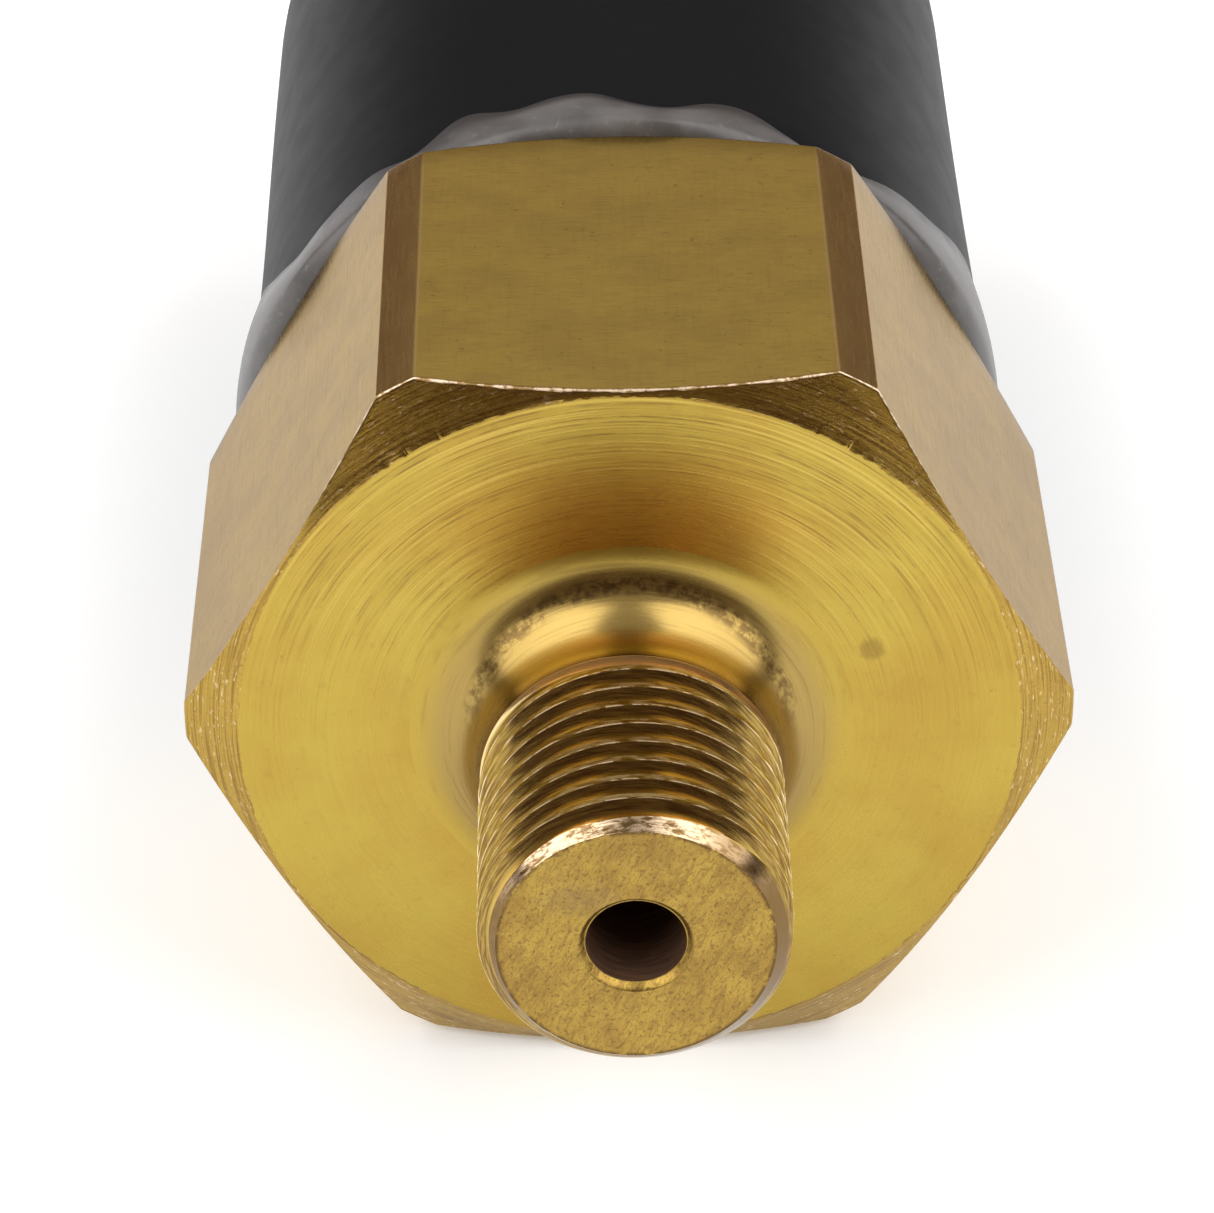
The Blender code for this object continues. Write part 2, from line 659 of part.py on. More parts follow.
clear_scene()
switch = new_collection("pressure_switch")
cutters = new_collection("cutters")
make_hex_body()
make_sleeve()
make_boot()
make_bead()
make_o_ring()
make_diaphragm()
make_fixed_stack()
make_plunger()
make_bridge()
make_spring_and_nut()
make_adjuster_screw()
make_bushing_and_clip()
make_terminal_base()
make_liner_and_gasket()
for side_name, side_sign in (("left", -1), ("right", 1)):
    make_contact(f"moving_contact_{side_name}", side_sign, MOVING_CONTACT_START)
    make_contact(f"fixed_contact_{side_name}", side_sign, FIXED_CONTACT_START)
    make_terminal(side_name, side_sign)
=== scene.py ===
"""Looks of a brass-bodied pressure switch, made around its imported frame.

The frame is in metres: the switch's axis is Y, its threaded stud points to -Y and +Z comes out of the
middle of a hex flat. The shapes below are worked out in millimetres and scaled when their mesh is made.
"""
import json
import math

import bmesh
import bpy
import numpy as np
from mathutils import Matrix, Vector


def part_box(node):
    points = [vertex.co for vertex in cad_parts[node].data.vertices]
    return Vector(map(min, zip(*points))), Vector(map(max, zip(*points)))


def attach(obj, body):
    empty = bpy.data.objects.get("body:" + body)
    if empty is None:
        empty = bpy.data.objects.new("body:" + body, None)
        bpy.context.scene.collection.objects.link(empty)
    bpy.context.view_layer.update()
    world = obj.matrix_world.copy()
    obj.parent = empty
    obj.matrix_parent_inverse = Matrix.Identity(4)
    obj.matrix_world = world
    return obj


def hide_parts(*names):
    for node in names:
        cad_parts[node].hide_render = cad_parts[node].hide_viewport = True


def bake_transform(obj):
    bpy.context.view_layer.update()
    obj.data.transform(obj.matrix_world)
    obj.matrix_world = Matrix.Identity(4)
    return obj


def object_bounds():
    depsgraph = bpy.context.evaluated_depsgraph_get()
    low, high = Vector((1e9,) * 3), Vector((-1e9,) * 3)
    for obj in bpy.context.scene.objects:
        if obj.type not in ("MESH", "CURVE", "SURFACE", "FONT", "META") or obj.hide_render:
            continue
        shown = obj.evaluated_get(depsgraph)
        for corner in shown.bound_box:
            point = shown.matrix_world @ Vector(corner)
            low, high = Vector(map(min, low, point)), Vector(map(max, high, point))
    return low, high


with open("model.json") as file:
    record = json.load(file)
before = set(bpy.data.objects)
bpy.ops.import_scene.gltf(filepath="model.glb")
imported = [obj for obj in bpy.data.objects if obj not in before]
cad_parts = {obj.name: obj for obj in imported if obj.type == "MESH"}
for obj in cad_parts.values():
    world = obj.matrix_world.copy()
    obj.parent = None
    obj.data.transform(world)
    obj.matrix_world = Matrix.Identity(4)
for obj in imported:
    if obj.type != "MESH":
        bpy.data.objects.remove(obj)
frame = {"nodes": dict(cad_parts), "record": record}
cad_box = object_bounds()

MM = 0.001

# ---------------------------------------------------------------- sizes of the body, in millimetres
FLAT_APOTHEM = 13.25
CORNER_RADIUS = 14.9
FACE_RADIUS = 13.08
CHAMFER_SLOPE = 0.577
HEX_LENGTH = 17.27
REAR_FACE_RADIUS = 13.0
FILLET_RADIUS = 2.4
NECK_RADIUS = 4.95
STUD_END = -11.57
END_FACE_RADIUS = 4.42
END_CHAMFER_SLOPE = 1.0
BORE_RADIUS = 1.6
BORE_RIM = 0.22
BORE_DEPTH = 3.0
CHAMBER_RADIUS = 7.5
CHAMBER_DEPTH = 4.5
CAVITY_RADIUS = 9.6
SPIGOT_RADIUS = 11.1
SPIGOT_END = 21.5

# M10 x 1 thread, right-handed; its burr, and the groove and low bump where it starts
PITCH = 1.0
CREST_RADIUS = 5.0
THREAD_DEPTH = 0.5
CREST_WIDTH = 0.26
FLANK_SLOPE = 1.732
FIRST_CREST = -3.45
THREAD_START = -2.8
THREAD_TOP = THREAD_START - 0.05
LIP_HEIGHT = 0.030
LIP_WIDTH = 0.035
GROOVE_RADIUS = 4.62
GROOVE_WIDTH = 0.25
GROOVE_FRONT_SLOPE = 3.0
GROOVE_BACK_SLOPE = 1.6
BUMP_HEIGHT = 0.035
BUMP_WIDTH = 0.035
BUMP_OFFSET = 0.02

# boot and sealant
BOOT_RADIUS = 13.6
BOOT_INNER = 12.7
BOOT_FRONT = 17.75
SHOULDER_START = 46.5
SHOULDER_LENGTH = 8.5
SHOULDER_DROP = 3.9
MOUTH_RADIUS = 9.1
BEAD_FRONT = 17.33

# the range spring: the turn at which its two lengths meet, and the length of each tip
SPRING_RADIUS = 3.6
SPRING_WIRE = 0.45
SPRING_TURNS = 5
SPRING_MEET = 2.1
SPRING_TIP = 0.7
CLOSED_GAP = 0.15

# the fold that lets the diaphragm move
FOLD_RADIUS = 6.15
FOLD_DEPTH = 0.9
FILM = 0.4

# grids
STUD_COLUMNS = 256
HEX_COLUMNS = 768
BOOT_COLUMNS = 240
BEAD_COLUMNS = 480
DIAPHRAGM_COLUMNS = 128
ROWS_PER_PITCH = 20
WIRE_SIDES = 16
WIRE_STEPS = 56


# ---------------------------------------------------------------- mesh helpers

def ring(angles, radius, y):
    """Points round the axis at the given radius and place along it; angles run from +Z towards +X."""
    radius = np.broadcast_to(np.asarray(radius, float), angles.shape)
    y = np.broadcast_to(np.asarray(y, float), angles.shape)
    return np.stack([radius * np.sin(angles), y, radius * np.cos(angles)], axis=1)


def even_angles(count):
    """Angles evenly spaced round a whole turn, starting at 0."""
    return np.arange(count) * (2 * math.pi / count)


def ragged(seed, count, width):
    """A closed run of random values between 0 and 1, smoothed over the given number of columns."""
    values = np.random.default_rng(seed).random(count)
    window = np.hanning(width + 2)[1:-1]
    window /= window.sum()
    reach = len(window)
    padded = np.concatenate([values[-reach:], values, values[:reach]])
    smooth = np.convolve(padded, window, mode="same")[reach:-reach]
    low, high = smooth.min(), smooth.max()
    return (smooth - low) / (high - low)


def strip(first, first_count, second, second_count):
    """Faces between two rings, where one may have a whole multiple of the other's points."""
    faces = []
    if first_count == second_count:
        for i in range(first_count):
            j = (i + 1) % first_count
            faces.append((first + i, first + j, second + j, second + i))
        return faces
    if first_count > second_count:
        return [face[::-1] for face in strip(second, second_count, first, first_count)]
    step = second_count // first_count
    for i in range(first_count):
        j = (i + 1) % first_count
        far = [second + (i * step + k) % second_count for k in range(step, -1, -1)]
        faces.append((first + i, first + j, *far))
    return faces


def loft(rings, slots):
    """Points and faces of a closed shape through a loop of rings, with a material slot for each band."""
    points, faces, face_slots, starts, total = [], [], [], [], 0
    for points_of_ring in rings:
        starts.append(total)
        points.append(points_of_ring)
        total += len(points_of_ring)
    for i, points_of_ring in enumerate(rings):
        j = (i + 1) % len(rings)
        if slots[i] is None:
            continue
        band = strip(starts[i], len(points_of_ring), starts[j], len(rings[j]))
        faces += band
        face_slots += [slots[i]] * len(band)
    return np.concatenate(points), faces, face_slots


def make_piece(name, points, faces, face_slots, materials, sharp=30.0, merge=0.0005):
    """A mesh object from points in millimetres, welded, with its faces pointing out."""
    mesh = bpy.data.meshes.new(name)
    mesh.from_pydata((points * MM).tolist(), [], faces)
    mesh.polygons.foreach_set("material_index", face_slots)
    for material in materials:
        mesh.materials.append(material)
    work = bmesh.new()
    work.from_mesh(mesh)
    bmesh.ops.remove_doubles(work, verts=work.verts, dist=merge * MM)
    bmesh.ops.dissolve_degenerate(work, edges=work.edges, dist=0.1 * merge * MM)
    bmesh.ops.recalc_face_normals(work, faces=work.faces)
    work.to_mesh(mesh)
    work.free()
    mesh.shade_smooth()
    mesh.set_sharp_from_angle(angle=math.radians(sharp))
    piece = bpy.data.objects.new(name, mesh)
    bpy.context.collection.objects.link(piece)
    return piece


# ---------------------------------------------------------------- material helpers

class Graph:
    """A material's node tree, with short calls that add a node and hand back its output."""

    def __init__(self, name):
        self.material = bpy.data.materials.new(name)
        self.material.use_nodes = True
        self.tree = self.material.node_tree
        self.shader = self.tree.nodes["Principled BSDF"]
        coordinates = self.tree.nodes.new("ShaderNodeTexCoord")
        self.position = self.vector("SCALE", coordinates.outputs["Object"], 1 / MM)
        self.parts = self.tree.nodes.new("ShaderNodeSeparateXYZ")
        self.link(self.position, self.parts.inputs[0])
        self.x, self.y, self.z = self.parts.outputs
        flat = self.vector("MULTIPLY", self.position, (1, 0, 1))
        self.radius = self.vector("LENGTH", flat)
        self.direction = self.vector("NORMALIZE", flat)

    def link(self, value, socket):
        """Feed a socket from another node's output, or give it a plain value."""
        if isinstance(value, bpy.types.NodeSocket):
            self.tree.links.new(value, socket)
        else:
            socket.default_value = value

    def vector(self, operation, a, b=None):
        node = self.tree.nodes.new("ShaderNodeVectorMath")
        node.operation = operation
        self.link(a, node.inputs[0])
        if b is not None:
            self.link(b, node.inputs["Scale"] if operation == "SCALE" else node.inputs[1])
        return node.outputs["Value"] if operation == "LENGTH" else node.outputs["Vector"]

    def math(self, operation, a, b=None):
        node = self.tree.nodes.new("ShaderNodeMath")
        node.operation = operation
        self.link(a, node.inputs[0])
        if b is not None:
            self.link(b, node.inputs[1])
        return node.outputs[0]

    def noise(self, scale, detail=3.0, roughness=0.55, vector=None, distortion=0.0):
        """Noise over the piece; scale is per millimetre, and may be a triple."""
        node = self.tree.nodes.new("ShaderNodeTexNoise")
        source = self.position if vector is None else vector
        if isinstance(scale, tuple):
            source = self.vector("MULTIPLY", source, scale)
            scale = 1.0
        self.link(source, node.inputs["Vector"])
        node.inputs["Scale"].default_value = scale
        node.inputs["Detail"].default_value = detail
        node.inputs["Roughness"].default_value = roughness
        node.inputs["Distortion"].default_value = distortion
        return node.outputs["Fac"]

    def rotated(self, angle):
        """The position turned about the switch's axis."""
        node = self.tree.nodes.new("ShaderNodeVectorRotate")
        node.rotation_type = "Y_AXIS"
        self.link(self.position, node.inputs["Vector"])
        node.inputs["Angle"].default_value = angle
        return node.outputs["Vector"]

    def arcs(self, place, round_scale, fine_scale, detail=3.0, roughness=0.6):
        """Noise drawn out round the axis; place is the radius or y, across which it is fine."""
        turn = self.vector("SCALE", self.direction, round_scale)
        across = self.tree.nodes.new("ShaderNodeCombineXYZ")
        self.link(self.math("MULTIPLY", place, fine_scale), across.inputs["Y"])
        return self.noise(1.0, detail, roughness, self.vector("ADD", turn, across.outputs[0]))

    def spread(self, value, low, high, out_low=0.0, out_high=1.0):
        """The value from low to high mapped smoothly to another range."""
        node = self.tree.nodes.new("ShaderNodeMapRange")
        node.interpolation_type = "SMOOTHSTEP"
        limits = (low, high, out_low, out_high)
        for socket, number in zip(("From Min", "From Max", "To Min", "To Max"), limits):
            node.inputs[socket].default_value = number
        self.link(value, node.inputs["Value"])
        return node.outputs["Result"]

    def mix(self, factor, a, b):
        """Colour a where the factor is 0 and colour b where it is 1."""
        node = self.tree.nodes.new("ShaderNodeMix")
        node.data_type = "RGBA"
        self.link(factor, node.inputs["Factor"])
        self.link(a if not isinstance(a, tuple) else (*a, 1.0), node.inputs["A"])
        self.link(b if not isinstance(b, tuple) else (*b, 1.0), node.inputs["B"])
        return node.outputs["Result"]

    def bump(self, height, distance, strength=1.0, under=None):
        """A bump from a height between 0 and 1; distance is in millimetres."""
        node = self.tree.nodes.new("ShaderNodeBump")
        node.inputs["Distance"].default_value = distance * MM
        node.inputs["Strength"].default_value = strength
        self.link(height, node.inputs["Height"])
        if under is not None:
            self.link(under, node.inputs["Normal"])
        return node.outputs["Normal"]

    def set(self, **sockets):
        """Fill the shader's sockets, and hand back the finished material."""
        for name, value in sockets.items():
            socket = self.shader.inputs[name.replace("_", " ")]
            if isinstance(value, tuple) and len(value) == 3 and socket.type == "RGBA":
                value = (*value, 1.0)
            self.link(value, socket)
        return self.material


# ---------------------------------------------------------------- materials of the body

BRASS = (0.470, 0.340, 0.064)
BRASS_DEEP = (0.43, 0.28, 0.052)
BRASS_BROWN = (0.20, 0.115, 0.036)
BRASS_PALE = (0.74, 0.57, 0.34)


def brass_face():
    """The turned front face: fine arcs above the stud, smoother below, with stains, specks, one spot and a
    painted shade above the stud.
    """
    g = Graph("brass_face")
    fine = g.arcs(g.radius, 1.2, 11.0, 4.0)
    broken = g.arcs(g.radius, 8.0, 6.0, 3.0)
    cloud = g.noise(0.16, 3.0, 0.6)
    above = g.spread(g.z, -1.0, 9.5, 0.10, 1.0)
    marks = g.math("MULTIPLY", g.spread(fine, 0.50, 0.62), g.spread(broken, 0.38, 0.60))
    marks = g.math("MULTIPLY", marks, above)
    stain = g.spread(g.noise(0.35, 4.0, 0.6), 0.52, 0.72)
    fleck = g.spread(g.noise(1.7, 5.0, 0.7), 0.56, 0.68)
    specks = g.spread(g.noise(3.2, 2.0, 0.5), 0.71, 0.77)
    colour = g.mix(g.spread(cloud, 0.35, 0.7), BRASS, BRASS_DEEP)
    colour = g.mix(g.math("MULTIPLY", stain, 0.08), colour, BRASS_BROWN)
    colour = g.mix(g.math("MULTIPLY", fleck, 0.14), colour, BRASS_BROWN)
    colour = g.mix(g.math("MULTIPLY", marks, 0.66), colour, BRASS_BROWN)
    light = g.math("MULTIPLY", g.spread(fine, 0.46, 0.36), g.math("MULTIPLY", above, above))
    colour = g.mix(g.math("MULTIPLY", light, 0.7), colour, (0.60, 0.43, 0.10))
    # painted shade: a copper-brown patch above the stud, standing in for the stud's dark reflection in the
    # face
    painted_stud_shade = g.vector("SUBTRACT", g.position, (0.0, 0.0, 8.0))
    painted_stud_shade = g.vector("LENGTH", g.vector("MULTIPLY", painted_stud_shade, (0.27, 0.0, 0.45)))
    colour = g.mix(g.spread(painted_stud_shade, 0.3, 1.9, 0.46, 0.0), colour, (0.60, 0.22, 0.018))
    colour = g.mix(g.math("MULTIPLY", specks, 0.30), colour, BRASS_BROWN)
    spot = g.vector("LENGTH", g.vector("SUBTRACT", g.position, (8.0, 0.0, 3.2)))
    spot = g.math("ADD", spot, g.math("MULTIPLY", g.noise(2.5), 0.4))
    colour = g.mix(g.spread(spot, 0.45, 0.75, 0.5, 0.0), colour, BRASS_BROWN)
    rough = g.spread(fine, 0.3, 0.7, 0.26, 0.31)
    normal = g.bump(g.math("MULTIPLY", fine, above), 0.006, 0.6)
    normal = g.bump(g.noise(9.0, 3.0), 0.002, 0.4, normal)
    return g.set(Base_Color=colour, Metallic=1.0, Roughness=rough, Normal=normal)


def brass_flat():
    """The drawn hex flats and corners: fine marks across the bar, small pits and scratches."""
    g = Graph("brass_flat")
    across = g.noise((0.9, 18.0, 0.9), 4.0, 0.65)
    along = g.noise((7.0, 0.5, 7.0), 3.0, 0.6)
    cloud = g.noise((0.3, 0.4, 0.3), 5.0, 0.65)
    pits = g.spread(g.noise(4.5, 2.0, 0.6), 0.69, 0.74)
    scratch = g.noise((1.6, 2.6, 9.0), 5.0, 0.7, distortion=1.0)
    colour = g.mix(g.spread(cloud, 0.35, 0.65), (0.585, 0.400, 0.092), (0.51, 0.345, 0.084))
    colour = g.mix(g.spread(across, 0.48, 0.72, 0.0, 0.34), colour, BRASS_BROWN)
    colour = g.mix(g.spread(along, 0.50, 0.75, 0.0, 0.10), colour, BRASS_BROWN)
    colour = g.mix(g.spread(scratch, 0.60, 0.70, 0.0, 0.35), colour, BRASS_BROWN)
    colour = g.mix(g.math("MULTIPLY", pits, 0.45), colour, BRASS_BROWN)
    colour = g.mix(g.spread(scratch, 0.34, 0.28, 0.0, 0.35), colour, BRASS_PALE)
    colour = g.mix(g.spread(g.radius, 14.86, 14.89, 0.0, 0.75), colour, (0.66, 0.45, 0.18))
    rough = g.spread(along, 0.3, 0.7, 0.24, 0.28)
    g.shader.inputs["Specular Tint"].default_value = (0.60, 0.59, 0.66, 1.0)
    normal = g.bump(across, 0.003, 0.5)
    normal = g.bump(scratch, 0.003, 0.4, normal)
    return g.set(Base_Color=colour, Metallic=1.0, Roughness=rough, Normal=normal)


def brass_chamfer():
    """The turned chamfers: rings crossed by random scratches and bright specks."""
    g = Graph("brass_chamfer")
    rings = g.arcs(g.radius, 3.0, 13.0, 4.0, 0.65)
    scratches = g.noise((4.0, 4.0, 11.0), 5.0, 0.75, distortion=1.2)
    specks = g.spread(g.arcs(g.radius, 34.0, 10.0, 2.0), 0.60, 0.70)
    colour = g.mix(g.spread(rings, 0.40, 0.62), (0.43, 0.285, 0.060), (0.34, 0.21, 0.045))
    colour = g.mix(g.spread(rings, 0.50, 0.66, 0.0, 0.65), colour, BRASS_BROWN)
    colour = g.mix(g.spread(scratches, 0.52, 0.66, 0.0, 0.5), colour, BRASS_BROWN)
    colour = g.mix(g.math("MULTIPLY", specks, 0.6), colour, BRASS_PALE)
    rough = g.spread(scratches, 0.35, 0.65, 0.15, 0.26)
    normal = g.bump(rings, 0.010, 0.6)
    normal = g.bump(scratches, 0.006, 0.5, normal)
    return g.set(Base_Color=colour, Metallic=1.0, Roughness=rough, Normal=normal)


def brass_burr():
    """The raised edge between chamfer and flat: worn, and painted paler and pinker than the rest as a
    highlight that is strongest round the top.
    """
    g = Graph("brass_burr")
    broken = g.noise(2.6, 5.0, 0.7)
    # partly wear, partly painted highlight: pale and less metallic in broken patches, strongest round the top
    wear_and_highlight = g.math("MULTIPLY", g.spread(broken, 0.58, 0.45), g.spread(g.z, 7.0, 11.0, 0.15, 1.0))
    colour = g.mix(wear_and_highlight, (0.36, 0.22, 0.08), (0.82, 0.64, 0.46))
    metal = g.math("SUBTRACT", 1.0, g.math("MULTIPLY", wear_and_highlight, 0.35))
    rough = g.spread(broken, 0.3, 0.7, 0.30, 0.45)
    return g.set(Base_Color=colour, Metallic=metal, Roughness=rough, Normal=g.bump(broken, 0.02, 0.6))


def brass_stud():
    """The turned stud: flanks dark with dirt and painted shade, gold roots, pale broken crest lines partly
    painted as highlights, painted highlight and shade lines where the thread starts, and a worn end chamfer
    with a painted highlight on its upper side.
    """
    g = Graph("brass_stud")
    rings = g.arcs(g.y, 2.0, 16.0, 4.0)
    fine = g.arcs(g.y, 5.0, 30.0, 3.0)
    mottle = g.noise(1.2, 3.0, 0.6)
    flecks = g.spread(g.arcs(g.y, 9.0, 6.0, 3.0), 0.42, 0.54)
    in_thread = g.spread(g.y, THREAD_START - 0.06, THREAD_START - 0.03, 1.0, 0.0)
    flank = g.math("MULTIPLY", g.spread(g.radius, 4.62, 4.76), g.spread(g.radius, 4.975, 4.995, 1.0, 0.0))
    flank = g.math("MULTIPLY", flank, in_thread)
    root = g.math("MULTIPLY", g.spread(g.radius, 4.56, 4.66, 1.0, 0.0), in_thread)
    # pale crest lines on the burr: partly the burr's own colour, partly painted highlight
    lip = g.math("MULTIPLY", g.spread(g.radius, 4.996, 5.006), g.math("MULTIPLY", flecks, in_thread))
    # a painted highlight line where the thread starts, with a painted shade line behind it
    start = g.math("MULTIPLY", g.spread(g.y, THREAD_START - 0.03, THREAD_START - 0.01),
                   g.spread(g.y, THREAD_START + 0.02, THREAD_START + 0.05, 1.0, 0.0))
    painted_shade_behind_start = g.math("MULTIPLY", g.spread(g.y, THREAD_START + 0.03, THREAD_START + 0.06),
                    g.spread(g.y, THREAD_START + 0.12, THREAD_START + 0.40, 1.0, 0.0))
    # the chamfer at the end: worn patches, with a painted highlight on its upper side
    at_end = g.spread(g.y, -11.22, -11.14, 1.0, 0.0)
    patches = g.spread(g.arcs(g.y, 9.0, 7.0, 5.0, 0.7), 0.40, 0.56)
    wear_and_highlight = g.math("MULTIPLY", patches, g.spread(g.z, 1.5, 3.2, 0.05, 1.0))
    wear_and_highlight = g.math("MULTIPLY", wear_and_highlight, g.spread(g.x, 1.6, 3.0, 1.0, 0.25))
    # the fillet, with patchy dark residue along its upper edge that also paints in the fillet's dark
    # reflected band there
    in_fillet = g.spread(g.y, -2.5, -1.9)
    oval = g.vector("LENGTH", g.vector("MULTIPLY", g.position, (1.13, 0.0, 1.0)))
    residue_and_dark_reflection = g.math("MULTIPLY", g.spread(oval, 5.75, 6.0), g.spread(oval, 6.25, 6.55, 1.0, 0.0))
    residue_and_dark_reflection = g.math("MULTIPLY", residue_and_dark_reflection, g.spread(g.noise(2.2, 5.0, 0.7), 0.42, 0.58))
    residue_and_dark_reflection = g.math("MULTIPLY", residue_and_dark_reflection, g.spread(g.z, 0.0, 2.5))
    towards_face = g.spread(g.radius, 6.1, 7.3)
    colour = g.mix(g.spread(mottle, 0.35, 0.65), (0.50, 0.36, 0.095), (0.46, 0.32, 0.080))
    colour = g.mix(in_fillet, colour, (0.365, 0.252, 0.076))
    colour = g.mix(towards_face, colour, (0.45, 0.315, 0.060))
    colour = g.mix(g.spread(rings, 0.52, 0.68, 0.0, 0.30), colour, BRASS_BROWN)
    # patchy residue, and painted dark reflection, on the fillet's upper edge
    colour = g.mix(g.math("MULTIPLY", residue_and_dark_reflection, 0.75), colour, (0.11, 0.062, 0.024))
    # the flanks darkened, partly dirt and partly painted shade and dark reflection
    flank_dirt_and_shade = g.math("MULTIPLY", flank, g.spread(fine, 0.36, 0.62, 0.25, 0.90))
    colour = g.mix(flank_dirt_and_shade, colour, (0.16, 0.082, 0.028))
    colour = g.mix(g.math("MULTIPLY", root, 0.7), colour, (0.62, 0.34, 0.075))
    # painted shade behind the start line, then the painted highlight on the start line
    colour = g.mix(g.math("MULTIPLY", painted_shade_behind_start, 0.7), colour, (0.13, 0.065, 0.022))
    colour = g.mix(start, colour, (0.86, 0.64, 0.32))
    colour = g.mix(at_end, colour, (0.19, 0.115, 0.042))
    # painted highlight over the worn patches on the end chamfer's upper side
    colour = g.mix(g.math("MULTIPLY", at_end, wear_and_highlight), colour, (0.70, 0.52, 0.34))
    colour = g.mix(lip, colour, (0.90, 0.74, 0.52))
    # the burr lines and the painted highlight at the thread start are made less metallic
    burr_and_highlights = g.math("MAXIMUM", lip, g.math("MULTIPLY", start, 0.4))
    metal = g.math("SUBTRACT", 1.0, g.math("MULTIPLY", burr_and_highlights, 0.40))
    rough = g.math("ADD", g.spread(rings, 0.3, 0.7, 0.16, 0.23), g.math("MULTIPLY", in_fillet, 0.05))
    rough = g.math("ADD", rough, g.math("MULTIPLY", towards_face, 0.045))
    normal = g.bump(rings, 0.004, 0.7)
    normal = g.bump(g.math("MULTIPLY", fine, in_thread), 0.006, 0.6, normal)
    normal = g.bump(g.noise(7.0, 3.0), 0.0015, 0.4, normal)
    return g.set(Base_Color=colour, Metallic=metal, Roughness=rough, Normal=normal)


def brass_end():
    """The sawn and faced end of the stud: slanting ripples, dark specks and brown stains."""
    g = Graph("brass_end")
    turned = g.rotated(math.radians(-28))
    ripple = g.noise(1.0, 3.0, 0.6, g.vector("MULTIPLY", turned, (5.5, 1.0, 1.3)), 0.8)
    grain = g.noise(1.0, 4.0, 0.7, g.vector("MULTIPLY", turned, (22.0, 1.0, 8.0)))
    mottle = g.noise(1.0, 4.0, 0.65)
    specks = g.spread(g.noise(7.0, 3.0, 0.6), 0.56, 0.64)
    edge = g.math("MULTIPLY", g.spread(g.radius, 4.26, 4.40), g.spread(g.noise(2.0, 4.0), 0.36, 0.52))
    colour = g.mix(g.spread(mottle, 0.35, 0.65), (0.42, 0.280, 0.060), (0.34, 0.215, 0.050))
    colour = g.mix(g.spread(ripple, 0.48, 0.64, 0.0, 0.45), colour, BRASS_BROWN)
    colour = g.mix(g.spread(grain, 0.48, 0.64, 0.0, 0.50), colour, (0.17, 0.095, 0.035))
    colour = g.mix(g.math("MULTIPLY", specks, 0.65), colour, (0.15, 0.085, 0.03))
    stain = g.vector("SUBTRACT", g.position, (-1.9, 0.0, 1.9))
    stain = g.vector("LENGTH", g.vector("MULTIPLY", stain, (0.8, 0.0, 1.3)))
    stain = g.math("ADD", stain, g.math("MULTIPLY", g.noise(1.4, 4.0, 0.65), 1.6))
    colour = g.mix(g.spread(stain, 1.0, 2.0, 0.35, 0.0), colour, (0.22, 0.145, 0.075))
    colour = g.mix(g.math("MULTIPLY", edge, 0.8), colour, (0.09, 0.048, 0.020))
    rough = g.spread(mottle, 0.3, 0.7, 0.28, 0.38)
    normal = g.bump(ripple, 0.030, 0.6)
    normal = g.bump(grain, 0.010, 0.6, normal)
    return g.set(Base_Color=colour, Metallic=1.0, Roughness=rough, Normal=normal)


def brass_bore():
    """The drilled inside, coloured dark brown as painted shade."""
    g = Graph("brass_bore")
    rings = g.arcs(g.y, 1.5, 10.0)
    # painted shade: the bore's brass coloured dark brown
    colour = g.mix(g.spread(rings, 0.35, 0.65), (0.20, 0.105, 0.060), (0.11, 0.060, 0.036))
    normal = g.bump(rings, 0.015, 0.6)
    rough = g.spread(rings, 0.3, 0.7, 0.45, 0.60)
    return g.set(Base_Color=colour, Metallic=0.5, Roughness=rough, Normal=normal)


def rubber():
    """Black satin rubber or heat-shrink sleeve: faint grain, soft ripples and grey scuffs."""
    g = Graph("boot_rubber")
    grain = g.noise(5.0, 3.0)
    ripple = g.noise((0.20, 0.10, 0.20), 2.0)
    scuff = g.spread(g.noise(1.1, 5.0, 0.7), 0.58, 0.80)
    colour = g.mix(g.math("MULTIPLY", scuff, 0.30), (0.0020, 0.0026, 0.0042), (0.010, 0.010, 0.012))
    rough = g.spread(g.noise(0.7, 4.0), 0.3, 0.7, 0.46, 0.50)
    normal = g.bump(grain, 0.0008, 0.3)
    normal = g.bump(ripple, 0.03, 0.3, normal)
    g.shader.inputs["Specular IOR Level"].default_value = 0.12
    return g.set(Base_Color=colour, Roughness=rough, Normal=normal)


def sealant():
    """Cloudy grey sealant, slightly see-through: darker where it thins out over the black boot."""
    g = Graph("clear_sealant")
    cloud = g.noise(0.5, 4.0, 0.6)
    bubbles = g.spread(g.noise(2.6, 2.0), 0.64, 0.72)
    colour = g.mix(g.spread(cloud, 0.35, 0.65), (0.070, 0.065, 0.064), (0.112, 0.106, 0.104))
    colour = g.mix(g.math("MULTIPLY", bubbles, 0.25), colour, (0.24, 0.23, 0.225))
    thickness = g.math("SUBTRACT", g.radius, BOOT_RADIUS)
    thin = g.math("MULTIPLY", g.spread(thickness, 0.02, 0.14, 0.85, 0.0), g.spread(g.y, 18.2, 18.9))
    colour = g.mix(thin, colour, (0.008, 0.008, 0.009))
    normal = g.bump(g.noise(0.8, 3.0), 0.04, 0.4)
    g.shader.inputs["Subsurface Weight"].default_value = 0.2
    g.shader.inputs["Subsurface Scale"].default_value = 0.4 * MM
    g.shader.inputs["Coat Weight"].default_value = 0.06
    g.shader.inputs["Coat Roughness"].default_value = 0.25
    return g.set(Base_Color=colour, Roughness=g.spread(cloud, 0.3, 0.7, 0.34, 0.46), Normal=normal)


